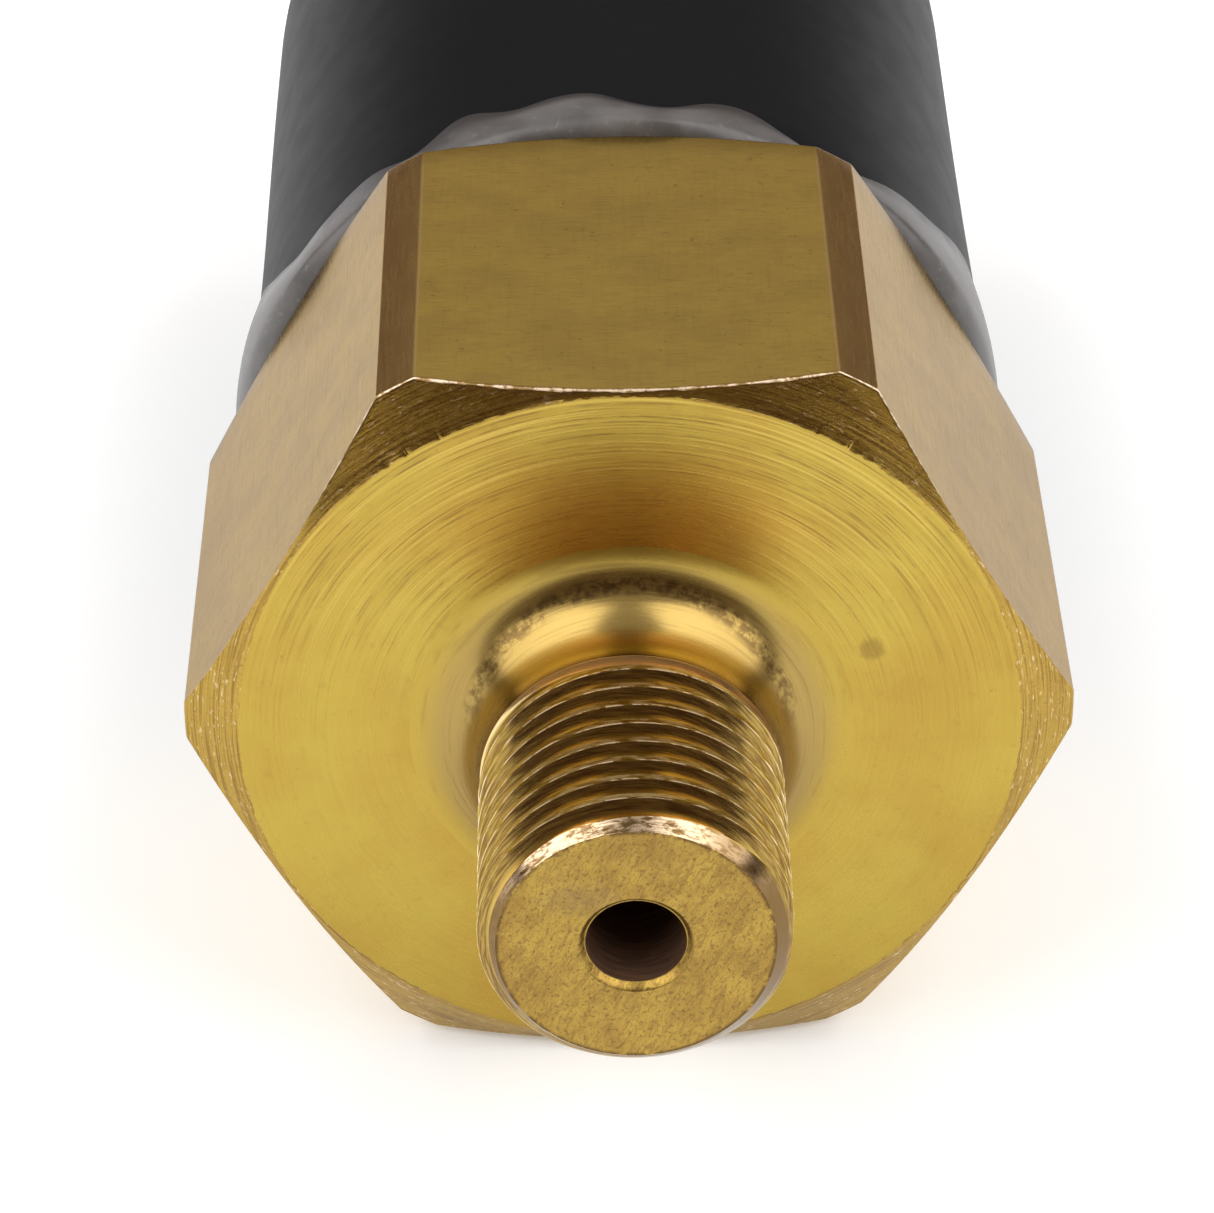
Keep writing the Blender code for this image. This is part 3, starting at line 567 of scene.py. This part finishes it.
# metallic, colour, second colour, roughness from and to, noise per millimetre along X, Y and Z, bump in mm
FINISHES = {
    "plated_steel": (1.0, (0.60, 0.60, 0.58), (0.46, 0.45, 0.42), 0.22, 0.38, (1.0, 7.0, 1.0), 0.004),
    "spring_steel": (1.0, (0.42, 0.42, 0.43), (0.28, 0.27, 0.27), 0.25, 0.40, (4.0, 4.0, 4.0), 0.004),
    "nitrile": (0.0, (0.010, 0.010, 0.011), (0.022, 0.022, 0.022), 0.45, 0.60, (5.0, 5.0, 5.0), 0.006),
    "diaphragm_film": (0.0, (0.46, 0.20, 0.035), (0.36, 0.14, 0.025), 0.18, 0.30, (1.5, 1.5, 1.5), 0.003),
    "terminal_brass": (1.0, (0.66, 0.52, 0.24), (0.58, 0.44, 0.18), 0.26, 0.32, (7.0, 1.6, 7.0), 0.0015),
    "bushing_brass": (1.0, (0.56, 0.40, 0.11), (0.46, 0.31, 0.08), 0.22, 0.32, (3.5, 9.0, 3.5), 0.003),
    "contact_silver": (1.0, (0.80, 0.79, 0.76), (0.58, 0.55, 0.50), 0.18, 0.36, (4.0, 4.0, 4.0), 0.004),
    "contact_copper": (1.0, (0.66, 0.30, 0.15), (0.48, 0.20, 0.10), 0.22, 0.40, (5.0, 0.8, 5.0), 0.003),
    "nylon": (0.0, (0.60, 0.57, 0.48), (0.50, 0.47, 0.39), 0.34, 0.48, (2.0, 2.0, 2.0), 0.008),
    "phenolic": (0.0, (0.030, 0.020, 0.016), (0.060, 0.036, 0.024), 0.30, 0.46, (2.5, 2.5, 2.5), 0.010),
    "fibre_liner": (0.0, (0.34, 0.22, 0.13), (0.24, 0.15, 0.085), 0.60, 0.80, (1.0, 6.0, 1.0), 0.020),
}


def finish(slot):
    """The material of a plain inner slot: cloudy colour and gloss, fine grain and a few dark specks."""
    metallic, colour, second, smooth, rough, grain_scale, height = FINISHES[slot]
    g = Graph(slot)
    grain = g.noise(grain_scale, 4.0, 0.6)
    cloud = g.noise(0.6, 3.0)
    specks = g.spread(g.noise(4.0, 2.0), 0.68, 0.75)
    tint = g.mix(g.spread(cloud, 0.35, 0.65), colour, second)
    tint = g.mix(g.spread(grain, 0.5, 0.75, 0.0, 0.5), tint, second)
    tint = g.mix(g.math("MULTIPLY", specks, 0.4), tint, tuple(0.4 * c for c in second))
    gloss = g.spread(grain, 0.3, 0.7, smooth, rough)
    return g.set(Base_Color=tint, Metallic=metallic, Roughness=gloss, Normal=g.bump(grain, height, 0.6))


# ---------------------------------------------------------------- the hex body

def hex_angles():
    """Column angles round the hex, closer together at the edges where the turned corners start."""
    edge = math.acos(FLAT_APOTHEM / CORNER_RADIUS)
    near = math.radians(0.3)
    flat = np.linspace(0, edge - near, 54)
    lip = np.linspace(edge - near, edge + near, 8)[1:]
    corner = np.linspace(edge + near, math.radians(30), 5)[1:]
    half = np.concatenate([flat, lip, corner])
    sector = np.concatenate([-half[:0:-1], half[:-1]])
    angles = np.concatenate([sector + math.radians(60) * k for k in range(6)])
    return np.roll(angles, 1 - len(half[:-1]))


def hex_radius(angles):
    """Distance from the axis to the hex's side, flats and turned corners meeting in a small round."""
    blend = 0.03
    within = (angles + math.radians(30)) % math.radians(60) - math.radians(30)
    flat = FLAT_APOTHEM / np.cos(within)
    h = np.clip(0.5 + 0.5 * (CORNER_RADIUS - flat) / blend, 0, 1)
    return CORNER_RADIUS * (1 - h) + flat * h - blend * h * (1 - h)


def stud_radius(angle, y, burr):
    """Radius of the stud at an angle and a place along it: thread, neck and end chamfer.

    A burr stands up on each crest's front edge, and a groove with a small shoulder starts the thread.
    """
    phase = (y - FIRST_CREST) / PITCH - angle / (2 * math.pi)
    away = (phase - np.round(phase)) * PITCH
    drop = np.clip((np.abs(away) - CREST_WIDTH / 2) * FLANK_SLOPE, 0, THREAD_DEPTH)
    fade = np.clip((THREAD_TOP - 0.05 - y) / 0.1, 0, 1)
    lip = LIP_HEIGHT * burr * np.exp(-((away + CREST_WIDTH / 2) / LIP_WIDTH) ** 2) * fade
    thread = CREST_RADIUS - drop + lip
    groove_back = NECK_RADIUS - GROOVE_BACK_SLOPE * (THREAD_START - y)
    groove_front = GROOVE_RADIUS + GROOVE_FRONT_SLOPE * (THREAD_START - GROOVE_WIDTH - y)
    threaded = np.minimum(thread, np.maximum(groove_back, groove_front))
    shoulder = BUMP_HEIGHT * np.exp(-((y - THREAD_START - BUMP_OFFSET) / BUMP_WIDTH) ** 2)
    end = END_FACE_RADIUS + (y - STUD_END) * END_CHAMFER_SLOPE
    return np.minimum(np.where(y > THREAD_START, NECK_RADIUS, threaded) + shoulder, end)


def thread_grid():
    """Points and faces of the stud between its end face and its neck, in rows that follow the helix."""
    angles = even_angles(STUD_COLUMNS)
    burr = ragged(11, STUD_COLUMNS, 5)
    rows = int(math.ceil((THREAD_TOP - STUD_END) / PITCH) + 1) * ROWS_PER_PITCH
    index = np.arange(rows + 1)[:, None]
    turn = angles[None, :]
    base = STUD_END - PITCH
    along = base + PITCH * (index / ROWS_PER_PITCH + turn / (2 * math.pi))
    rng = np.random.default_rng(5)
    wobble = np.interp(np.linspace(0, 40, rows + 1), np.arange(41), rng.random(41))[:, None]
    along = np.clip(along, STUD_END, THREAD_TOP)
    radius = stud_radius(turn, along, burr[None, :] * (0.4 + 1.2 * wobble))
    points = np.stack([radius * np.sin(turn), along, radius * np.cos(turn)], axis=2).reshape(-1, 3)
    faces = []
    for i in range(rows):
        for j in range(STUD_COLUMNS):
            k, shift = (j + 1, 0) if j + 1 < STUD_COLUMNS else (0, ROWS_PER_PITCH)
            if i + 1 + shift > rows:
                continue
            a = i * STUD_COLUMNS + j
            b = (i + shift) * STUD_COLUMNS + k
            faces.append((a, b, b + STUD_COLUMNS, a + STUD_COLUMNS))
    return points, faces


def build_hex_body():
    """The whole brass body as one closed shape, from the bore round the outside to the cavity."""
    face, flat, chamfer, burr_slot, stud, end, inside = range(7)
    round_angles = even_angles(STUD_COLUMNS)
    side_angles = hex_angles()
    side = hex_radius(side_angles)
    rings, slots = [], []

    def add(points, slot):
        rings.append(points)
        slots.append(slot)

    def turned(radius, y, slot):
        add(ring(round_angles, radius, y), slot)

    # bore, end face, neck and fillet
    for y in np.linspace(BORE_DEPTH, STUD_END + BORE_RIM, 8):
        turned(BORE_RADIUS, y, inside)
    slots[-1] = end
    for t in (0.0, 0.12, 0.5, 0.85):
        turned(BORE_RADIUS + BORE_RIM * (0.15 + 0.85 * t), STUD_END + BORE_RIM * (1 - t), end)
    for radius in (BORE_RADIUS + BORE_RIM + 0.02, 2.2, 2.8, 3.4, 4.0, END_FACE_RADIUS - 0.05):
        turned(radius, STUD_END, end)
    turned(END_FACE_RADIUS, STUD_END, None)
    for up in (-0.05, -0.03, -0.012, 0.0, 0.012, 0.03, 0.05, 0.08, 0.15):
        y = THREAD_START + up
        turned(stud_radius(round_angles, y, 0.0), y, stud)
    turned(NECK_RADIUS, -FILLET_RADIUS - 0.15, stud)
    for a in np.linspace(math.pi / 2, 0, 25):
        radius = NECK_RADIUS + FILLET_RADIUS * (1 - math.sin(a))
        turned(radius, FILLET_RADIUS * (math.cos(a) - 1), stud)
    slots[-1] = face

    # front face, with a slightly ragged edge where the chamfer cuts in
    for radius in (NECK_RADIUS + FILLET_RADIUS + 0.08, NECK_RADIUS + FILLET_RADIUS + 0.25):
        turned(radius, 0.0, face)
    fringe = 0.7 * ragged(3, HEX_COLUMNS, 2) + 0.3 * ragged(4, HEX_COLUMNS, 9) - 0.5
    for radius in (8.2, 9.4, 10.6, 11.6, 12.4, 12.8, 12.92):
        add(ring(side_angles, radius, 0.0), face)
    add(ring(side_angles, FACE_RADIUS - 0.03 + 0.15 * fringe, 0.004), chamfer)
    add(ring(side_angles, FACE_RADIUS + 0.02 + 0.15 * fringe, 0.028), chamfer)

    # front chamfer, and the burr rolled over its outer edge, widest round the top
    reach = side - FACE_RADIUS
    edge_y = CHAMFER_SLOPE * reach
    for t in np.linspace(0.08, 1.0, 14):
        out = 0.03 + (reach - 0.13) * t
        add(ring(side_angles, FACE_RADIUS + out, CHAMFER_SLOPE * out), chamfer)
    burr = (0.5 * ragged(7, HEX_COLUMNS, 3) + 0.5 * ragged(8, HEX_COLUMNS, 15)) ** 1.5
    from_top = np.abs((side_angles + math.pi) % (2 * math.pi) - math.pi)
    worn = 0.30 + 0.70 * np.exp(-(from_top / 0.62) ** 6)
    wide = (0.022 + 0.090 * burr) * worn
    raised = 0.02 * burr * worn
    add(ring(side_angles, side - wide, edge_y - CHAMFER_SLOPE * wide), burr_slot)
    add(ring(side_angles, side - 0.45 * wide + raised, edge_y - 0.22 * wide - raised), burr_slot)
    add(ring(side_angles, side - 0.10 * wide + 0.03 * burr * worn, edge_y + 0.20 * wide), burr_slot)
    add(ring(side_angles, side + raised, edge_y + 0.75 * wide), burr_slot)
    add(ring(side_angles, side, edge_y + 1.1 * wide + 0.01), flat)

    # sides, rear chamfer and spigot
    rear_edge = HEX_LENGTH - CHAMFER_SLOPE * (side - REAR_FACE_RADIUS)
    front, back = edge_y + 0.16, rear_edge - 0.08
    for t in np.linspace(0, 1, 16):
        add(ring(side_angles, side, front + (back - front) * t), flat)
    add(ring(side_angles, side - 0.01, rear_edge - 0.02), chamfer)
    add(ring(side_angles, side - 0.04, rear_edge + 0.02), chamfer)
    for t in np.linspace(0.1, 1.0, 8):
        rear = side + (REAR_FACE_RADIUS - side) * t
        add(ring(side_angles, rear, rear_edge + (HEX_LENGTH - rear_edge) * t), chamfer)
    add(ring(side_angles, 12.0, HEX_LENGTH), flat)
    for radius, y in ((SPIGOT_RADIUS, HEX_LENGTH), (SPIGOT_RADIUS, 19.4), (SPIGOT_RADIUS, SPIGOT_END - 0.3),
                      (SPIGOT_RADIUS - 0.3, SPIGOT_END), (CAVITY_RADIUS, SPIGOT_END), (CAVITY_RADIUS, 13.0),
                      (CAVITY_RADIUS, CHAMBER_DEPTH), (CHAMBER_RADIUS, CHAMBER_DEPTH),
                      (CHAMBER_RADIUS, BORE_DEPTH)):
        turned(radius, y, inside)

    points, faces, face_slots = loft(rings, slots)
    grid_points, grid_faces = thread_grid()
    offset = len(points)
    faces += [tuple(i + offset for i in f) for f in grid_faces]
    face_slots += [stud] * len(grid_faces)
    points = np.concatenate([points, grid_points])
    materials = [brass_face(), brass_flat(), brass_chamfer(), brass_burr(), brass_stud(), brass_end(),
                 brass_bore()]
    piece = make_piece("brass_hex_body", points, faces, face_slots, materials)
    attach(piece, "housing")
    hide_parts("hex_body")


# ---------------------------------------------------------------- boot and sealant

def boot_profile():
    """Outline of the boot in (radius, y), from its front edge round the outside and back along the inside."""
    outline = [(BOOT_INNER + 0.15, BOOT_FRONT), (BOOT_RADIUS - 0.35, BOOT_FRONT),
               (BOOT_RADIUS - 0.15, BOOT_FRONT + 0.12), (BOOT_RADIUS - 0.06, BOOT_FRONT + 0.45),
               (BOOT_RADIUS, BOOT_FRONT + 1.2)]
    outline += [(BOOT_RADIUS, y) for y in np.linspace(BOOT_FRONT + 2.4, SHOULDER_START, 22)]
    for a in np.radians(np.linspace(6, 78, 16)):
        outline.append((BOOT_RADIUS - SHOULDER_DROP * (1 - math.cos(a)),
                        SHOULDER_START + SHOULDER_LENGTH * math.sin(a)))
    end = SHOULDER_START + SHOULDER_LENGTH
    outline += [(10.35, end - 0.12), (10.0, end - 0.02), (9.6, end), (9.3, end - 0.06),
                (MOUTH_RADIUS, end - 0.28), (MOUTH_RADIUS, end - 0.6)]
    wall = BOOT_RADIUS - BOOT_INNER
    for a in np.radians(np.linspace(70, 0, 8)):
        outline.append((BOOT_INNER - (SHOULDER_DROP - 0.3) * (1 - math.cos(a)),
                        SHOULDER_START + (SHOULDER_LENGTH - wall) * math.sin(a)))
    outline += [(BOOT_INNER, y) for y in (36.0, 27.0, BOOT_FRONT + 0.3)]
    return outline


def build_boot(material):
    """The black boot over the crimped sleeve, very slightly out of round as soft parts are."""
    angles = even_angles(BOOT_COLUMNS)
    rings = []
    for radius, y in boot_profile():
        swell = 0.05 * np.sin(2 * angles + 0.09 * y) + 0.03 * np.sin(3 * angles - 0.16 * y)
        fade = min(1.0, max(0.0, (y - 22) / 8)) * min(1.0, max(0.0, (53.0 - y) / 6))
        rings.append(ring(angles, radius + fade * swell, y))
    points, faces, face_slots = loft(rings, [0] * len(rings))
    piece = make_piece("rubber_boot", points, faces, face_slots, [material], sharp=50)
    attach(piece, "housing")
    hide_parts("cover_boot")


def build_bead(material):
    """Sealant squeezed out between the boot and the hex: a wavy band, widest beside the two side corners."""
    angles = even_angles(BEAD_COLUMNS)
    degrees = np.degrees(angles)
    # where the band ends on the boot, and how far it bulges, at angles from the top towards +X
    edge_at = [(0, 18.9), (7, 18.3), (14, 19.5), (20, 19.6), (26, 18.6), (31, 17.9), (38, 18.6), (46, 19.8),
               (56, 20.7), (64, 22.2), (74, 23.9), (90, 24.8), (106, 23.4), (120, 20.6), (140, 18.9),
               (158, 19.7), (176, 18.8), (195, 19.9), (214, 18.9), (236, 20.2), (252, 22.8), (268, 25.0),
               (282, 24.4), (292, 21.4), (302, 19.3), (312, 19.6), (320, 19.9), (328, 18.8), (336, 20.4),
               (344, 19.1), (351, 19.7), (357, 19.6)]
    bulge_at = [(0, 0.16), (30, 0.03), (60, 0.14), (90, 0.30), (110, 0.20), (150, 0.0), (180, 0.0),
                (210, 0.0), (245, 0.20), (270, 0.55), (295, 0.22), (312, 0.06), (330, 0.03), (345, 0.12)]

    def around(table):
        """The table's value at every column, smoothed across the columns beside it."""
        at, value = zip(*table)
        at = np.array([a - 360 for a in at] + list(at) + [a + 360 for a in at], float)
        rough = np.interp(degrees, at, np.array(value * 3))
        side = 7
        window = np.hanning(2 * side + 1)
        window /= window.sum()
        return np.convolve(np.concatenate([rough[-side:], rough, rough[:side]]), window, mode="valid")

    edge = around(edge_at) + 0.3 + 0.10 * (ragged(31, BEAD_COLUMNS, 19) - 0.5)
    bulge = around(bulge_at)
    rings = [ring(angles, BOOT_INNER - 0.05, BEAD_FRONT), ring(angles, BOOT_RADIUS - 0.75, BEAD_FRONT)]
    for s in np.linspace(0, 1, 22):
        dome = math.sin(math.pi * s ** 0.8) ** 1.2
        front = 0.40 * (1 - min(1.0, s / 0.18)) ** 2
        y = BEAD_FRONT + (edge - BEAD_FRONT) * s
        thick = 0.09 * (1 - s) + bulge * dome - front - 0.02 * s
        rings.append(ring(angles, BOOT_RADIUS + thick, y))
    rings.append(ring(angles, BOOT_RADIUS - 0.35, edge - 0.1))
    rings.append(ring(angles, BOOT_RADIUS - 0.4, 0.5 * (edge + BEAD_FRONT)))
    rings.append(ring(angles, BOOT_INNER - 0.05, BEAD_FRONT + 0.4))
    points, faces, face_slots = loft(rings, [0] * len(rings))
    piece = make_piece("sealant_band", points, faces, face_slots, [material], sharp=60)
    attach(piece, "housing")
    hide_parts("sealant_bead")


# ---------------------------------------------------------------- the rear end and the inner pieces

def softened(node, name, material, width):
    """A copy of a CAD node with its sharp edges rounded by width millimetres, which stands for the node."""
    work = bmesh.new()
    work.from_mesh(frame["nodes"][node].data)
    bmesh.ops.remove_doubles(work, verts=work.verts, dist=0.002 * MM)
    bmesh.ops.dissolve_limit(work, angle_limit=math.radians(0.5), verts=work.verts, edges=work.edges)
    sharp = [e for e in work.edges if len(e.link_faces) == 2 and e.calc_face_angle() > math.radians(40)]
    bmesh.ops.bevel(work, geom=sharp, offset=width * MM, segments=3, profile=0.5, affect="EDGES",
                    clamp_overlap=True)
    mesh = bpy.data.meshes.new(name)
    work.to_mesh(mesh)
    work.free()
    if "custom_normal" in mesh.attributes:
        mesh.attributes.remove(mesh.attributes["custom_normal"])
    mesh.materials.clear()
    mesh.materials.append(material)
    mesh.shade_smooth()
    mesh.set_sharp_from_angle(angle=math.radians(35))
    piece = bpy.data.objects.new(name, mesh)
    bpy.context.collection.objects.link(piece)
    body = next(b for b, members in frame["record"]["behaviour"]["bodies"].items() if node in members)
    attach(piece, body)
    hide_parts(node)


def coil(start, end, first, last):
    """Points, faces and centre line of the spring's wire between two turns; its end turns lie closed."""
    closed = 2 * SPRING_WIRE + CLOSED_GAP
    pitch = (end - start - 2 * closed) / (SPRING_TURNS - 2)
    turn = np.linspace(first, last, int(WIRE_STEPS * (last - first)) + 1)
    y = start + closed * np.minimum(turn, 1) + pitch * np.clip(turn - 1, 0, SPRING_TURNS - 2)
    y += closed * np.maximum(turn - SPRING_TURNS + 1, 0)
    angle, section = 2 * math.pi * turn[:, None], even_angles(WIRE_SIDES)[None, :]
    radius = SPRING_RADIUS + SPRING_WIRE * np.cos(section)
    height = y[:, None] + SPRING_WIRE * np.sin(section)
    points = np.stack([radius * np.cos(angle), height, radius * np.sin(angle)], axis=2).reshape(-1, 3)
    faces = []
    for i in range(len(turn) - 1):
        faces += strip(WIRE_SIDES * i, WIRE_SIDES, WIRE_SIDES * (i + 1), WIRE_SIDES)
    last_point = len(points) - 1
    faces += [tuple(range(WIRE_SIDES)), tuple(range(last_point, last_point - WIRE_SIDES, -1))]
    return points, faces, y


def build_range_spring(material):
    """The range spring in two lengths, which meet at the turn SPRING_MEET."""
    low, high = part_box("range_spring")
    start, end = low[1] / MM + SPRING_WIRE, high[1] / MM - SPRING_WIRE
    lengths = (("range_spring_lower", 0, SPRING_MEET, "plunger", start + SPRING_TIP),
               ("range_spring_upper", SPRING_MEET, SPRING_TURNS, "spring_nut", end - SPRING_TIP))
    for name, first, last, body, tip in lengths:
        points, faces, y = coil(start, end, first, last)
        piece = make_piece(name, points, faces, [0] * len(faces), [material], sharp=50)
        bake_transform(piece)
        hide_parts("range_spring")


def build_diaphragm(material):
    """The diaphragm: a rim fixed to the housing, and a middle with a folded wall."""
    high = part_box("diaphragm")[1]
    rear, rim = high[1] / MM, high[0] / MM
    front = rear - FILM
    bottom = front - FOLD_DEPTH
    r = FOLD_RADIUS
    middle = [(0.0, rear), (r - 0.35, rear), (r - 0.17, rear - 0.10), (r - 0.10, rear - 0.3),
              (r - 0.10, bottom), (r - 0.25, bottom), (r - 0.25, front - 0.1), (r - 0.40, front),
              (0.0, front)]
    outer = [(r - 0.25, bottom), (r - 0.22, bottom - 0.12), (r - 0.13, bottom - 0.20), (r, bottom - 0.24),
             (r + 0.13, bottom - 0.20), (r + 0.22, bottom - 0.12), (r + 0.25, bottom),
             (r + 0.25, front - 0.1), (r + 0.40, front), (rim, front), (rim, rear), (r + 0.35, rear),
             (r + 0.17, rear - 0.10), (r + 0.10, rear - 0.3), (r + 0.10, bottom),
             (r + 0.05, bottom - 0.06), (r, bottom - 0.08), (r - 0.05, bottom - 0.06), (r - 0.10, bottom)]
    angles = even_angles(DIAPHRAGM_COLUMNS)
    pieces = []
    for name, outline in (("diaphragm_middle", middle), ("diaphragm_rim", outer)):
        rings = [ring(angles, radius, y) for radius, y in outline]
        points, faces, face_slots = loft(rings, [0] * len(rings))
        piece = make_piece(name, points, faces, face_slots, [material], sharp=50)
        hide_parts("diaphragm")
        pieces.append(piece)
    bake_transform(pieces[0])
    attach(pieces[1], "housing")


def build_inner_pieces():
    """Finishes for the CAD nodes that stay, and rounded copies of those that show at the rear."""
    materials = {slot: finish(slot) for slot in FINISHES}
    slot_of = {part["node"]: part["material_slot"] for part in frame["record"]["subparts"]}
    for node, piece in frame["nodes"].items():
        slot = slot_of[node]
        if slot in materials:
            piece.data.materials.clear()
            piece.data.materials.append(materials[slot])
    rear = (("terminal_base", "switch_base", 0.15), ("adjuster_bushing", "brass_bushing", 0.10),
            ("adjuster_screw", "slotted_screw", 0.08), ("terminal_left", "blade_terminal_left", 0.06),
            ("terminal_right", "blade_terminal_right", 0.06))
    for node, name, width in rear:
        softened(node, name, materials[slot_of[node]], width)
    build_range_spring(materials["spring_steel"])
    build_diaphragm(materials["diaphragm_film"])


# ---------------------------------------------------------------- stage, light and camera

def build_stage():
    """A wide pale floor just under the switch, a little brighter further away."""
    mesh = bpy.data.meshes.new("studio_floor")
    half, level = 4.0, cad_box[0][2] - 0.02 * MM
    corners = [(-half, -half, level), (half, -half, level), (half, half, level), (-half, half, level)]
    mesh.from_pydata(corners, [], [(0, 1, 2, 3)])
    floor = bpy.data.objects.new("studio_floor", mesh)
    bpy.context.collection.objects.link(floor)
    g = Graph("studio_floor")
    g.shader.inputs["Emission Color"].default_value = (1, 1, 1, 1)
    far = g.spread(g.vector("LENGTH", g.position), 200.0, 700.0, 0.24, 0.60)
    g.link(far, g.shader.inputs["Emission Strength"])
    mesh.materials.append(g.set(Base_Color=(0.83, 0.85, 0.87), Roughness=0.9))


def area_light(name, azimuth, elevation, distance, size, power):
    """A square softbox that looks at the switch; azimuth 0 is in front of the stud, and 90 is at +X."""
    light = bpy.data.lights.new(name, "AREA")
    light.shape = "RECTANGLE"
    light.size, light.size_y = size
    light.energy = power
    lamp = bpy.data.objects.new(name, light)
    bpy.context.collection.objects.link(lamp)
    a, e = math.radians(azimuth), math.radians(elevation)
    lamp.location = (distance * math.sin(a) * math.cos(e), -distance * math.cos(a) * math.cos(e),
                     distance * math.sin(e))
    lamp.rotation_euler = (math.pi / 2 - e, 0, a)


def build_light():
    """Two softboxes, in a world that is pale overhead and falls off to a dim brown towards the sides."""
    world = bpy.data.worlds.new("studio")
    world.use_nodes = True
    bpy.context.scene.world = world
    tree = world.node_tree
    background = tree.nodes["Background"]
    coordinates = tree.nodes.new("ShaderNodeTexCoord")
    facing = tree.nodes.new("ShaderNodeVectorMath")
    facing.operation = "DOT_PRODUCT"
    facing.inputs[1].default_value = (0.0, 0.2, 0.98)
    tree.links.new(coordinates.outputs["Generated"], facing.inputs[0])
    ramp = tree.nodes.new("ShaderNodeMapRange")
    ramp.interpolation_type = "SMOOTHSTEP"
    for socket, number in zip(("From Min", "From Max", "To Min", "To Max"), (0.38, 0.68, 0.0, 1.0)):
        ramp.inputs[socket].default_value = number
    tree.links.new(facing.outputs["Value"], ramp.inputs["Value"])
    tint = tree.nodes.new("ShaderNodeMix")
    tint.data_type = "RGBA"
    tint.inputs["A"].default_value = (0.150, 0.098, 0.068, 1)
    tint.inputs["B"].default_value = (0.56, 0.53, 0.50, 1)
    tree.links.new(ramp.outputs["Result"], tint.inputs["Factor"])
    tree.links.new(tint.outputs["Result"], background.inputs["Color"])
    area_light("softbox_left", -75, 42, 0.50, (0.58, 0.58), 2.6)
    area_light("softbox_right", 75, 42, 0.50, (0.58, 0.58), 2.6)


def build_camera():
    """The camera in front of the stud and above it, with a long lens."""
    data = bpy.data.cameras.new("camera")
    data.sensor_width = 36.0
    data.lens = 139.23
    data.clip_start = 0.01
    camera = bpy.data.objects.new("camera", data)
    bpy.context.collection.objects.link(camera)
    camera.location = (-0.001692, -0.127665, 0.090771)
    camera.rotation_euler = (0.9794, 0.0086, -0.0134)
    bpy.context.scene.camera = camera
    bpy.context.scene.view_settings.view_transform = "Standard"


build_camera()
build_stage()
build_light()
build_hex_body()
build_boot(rubber())
build_bead(sealant())
build_inner_pieces()
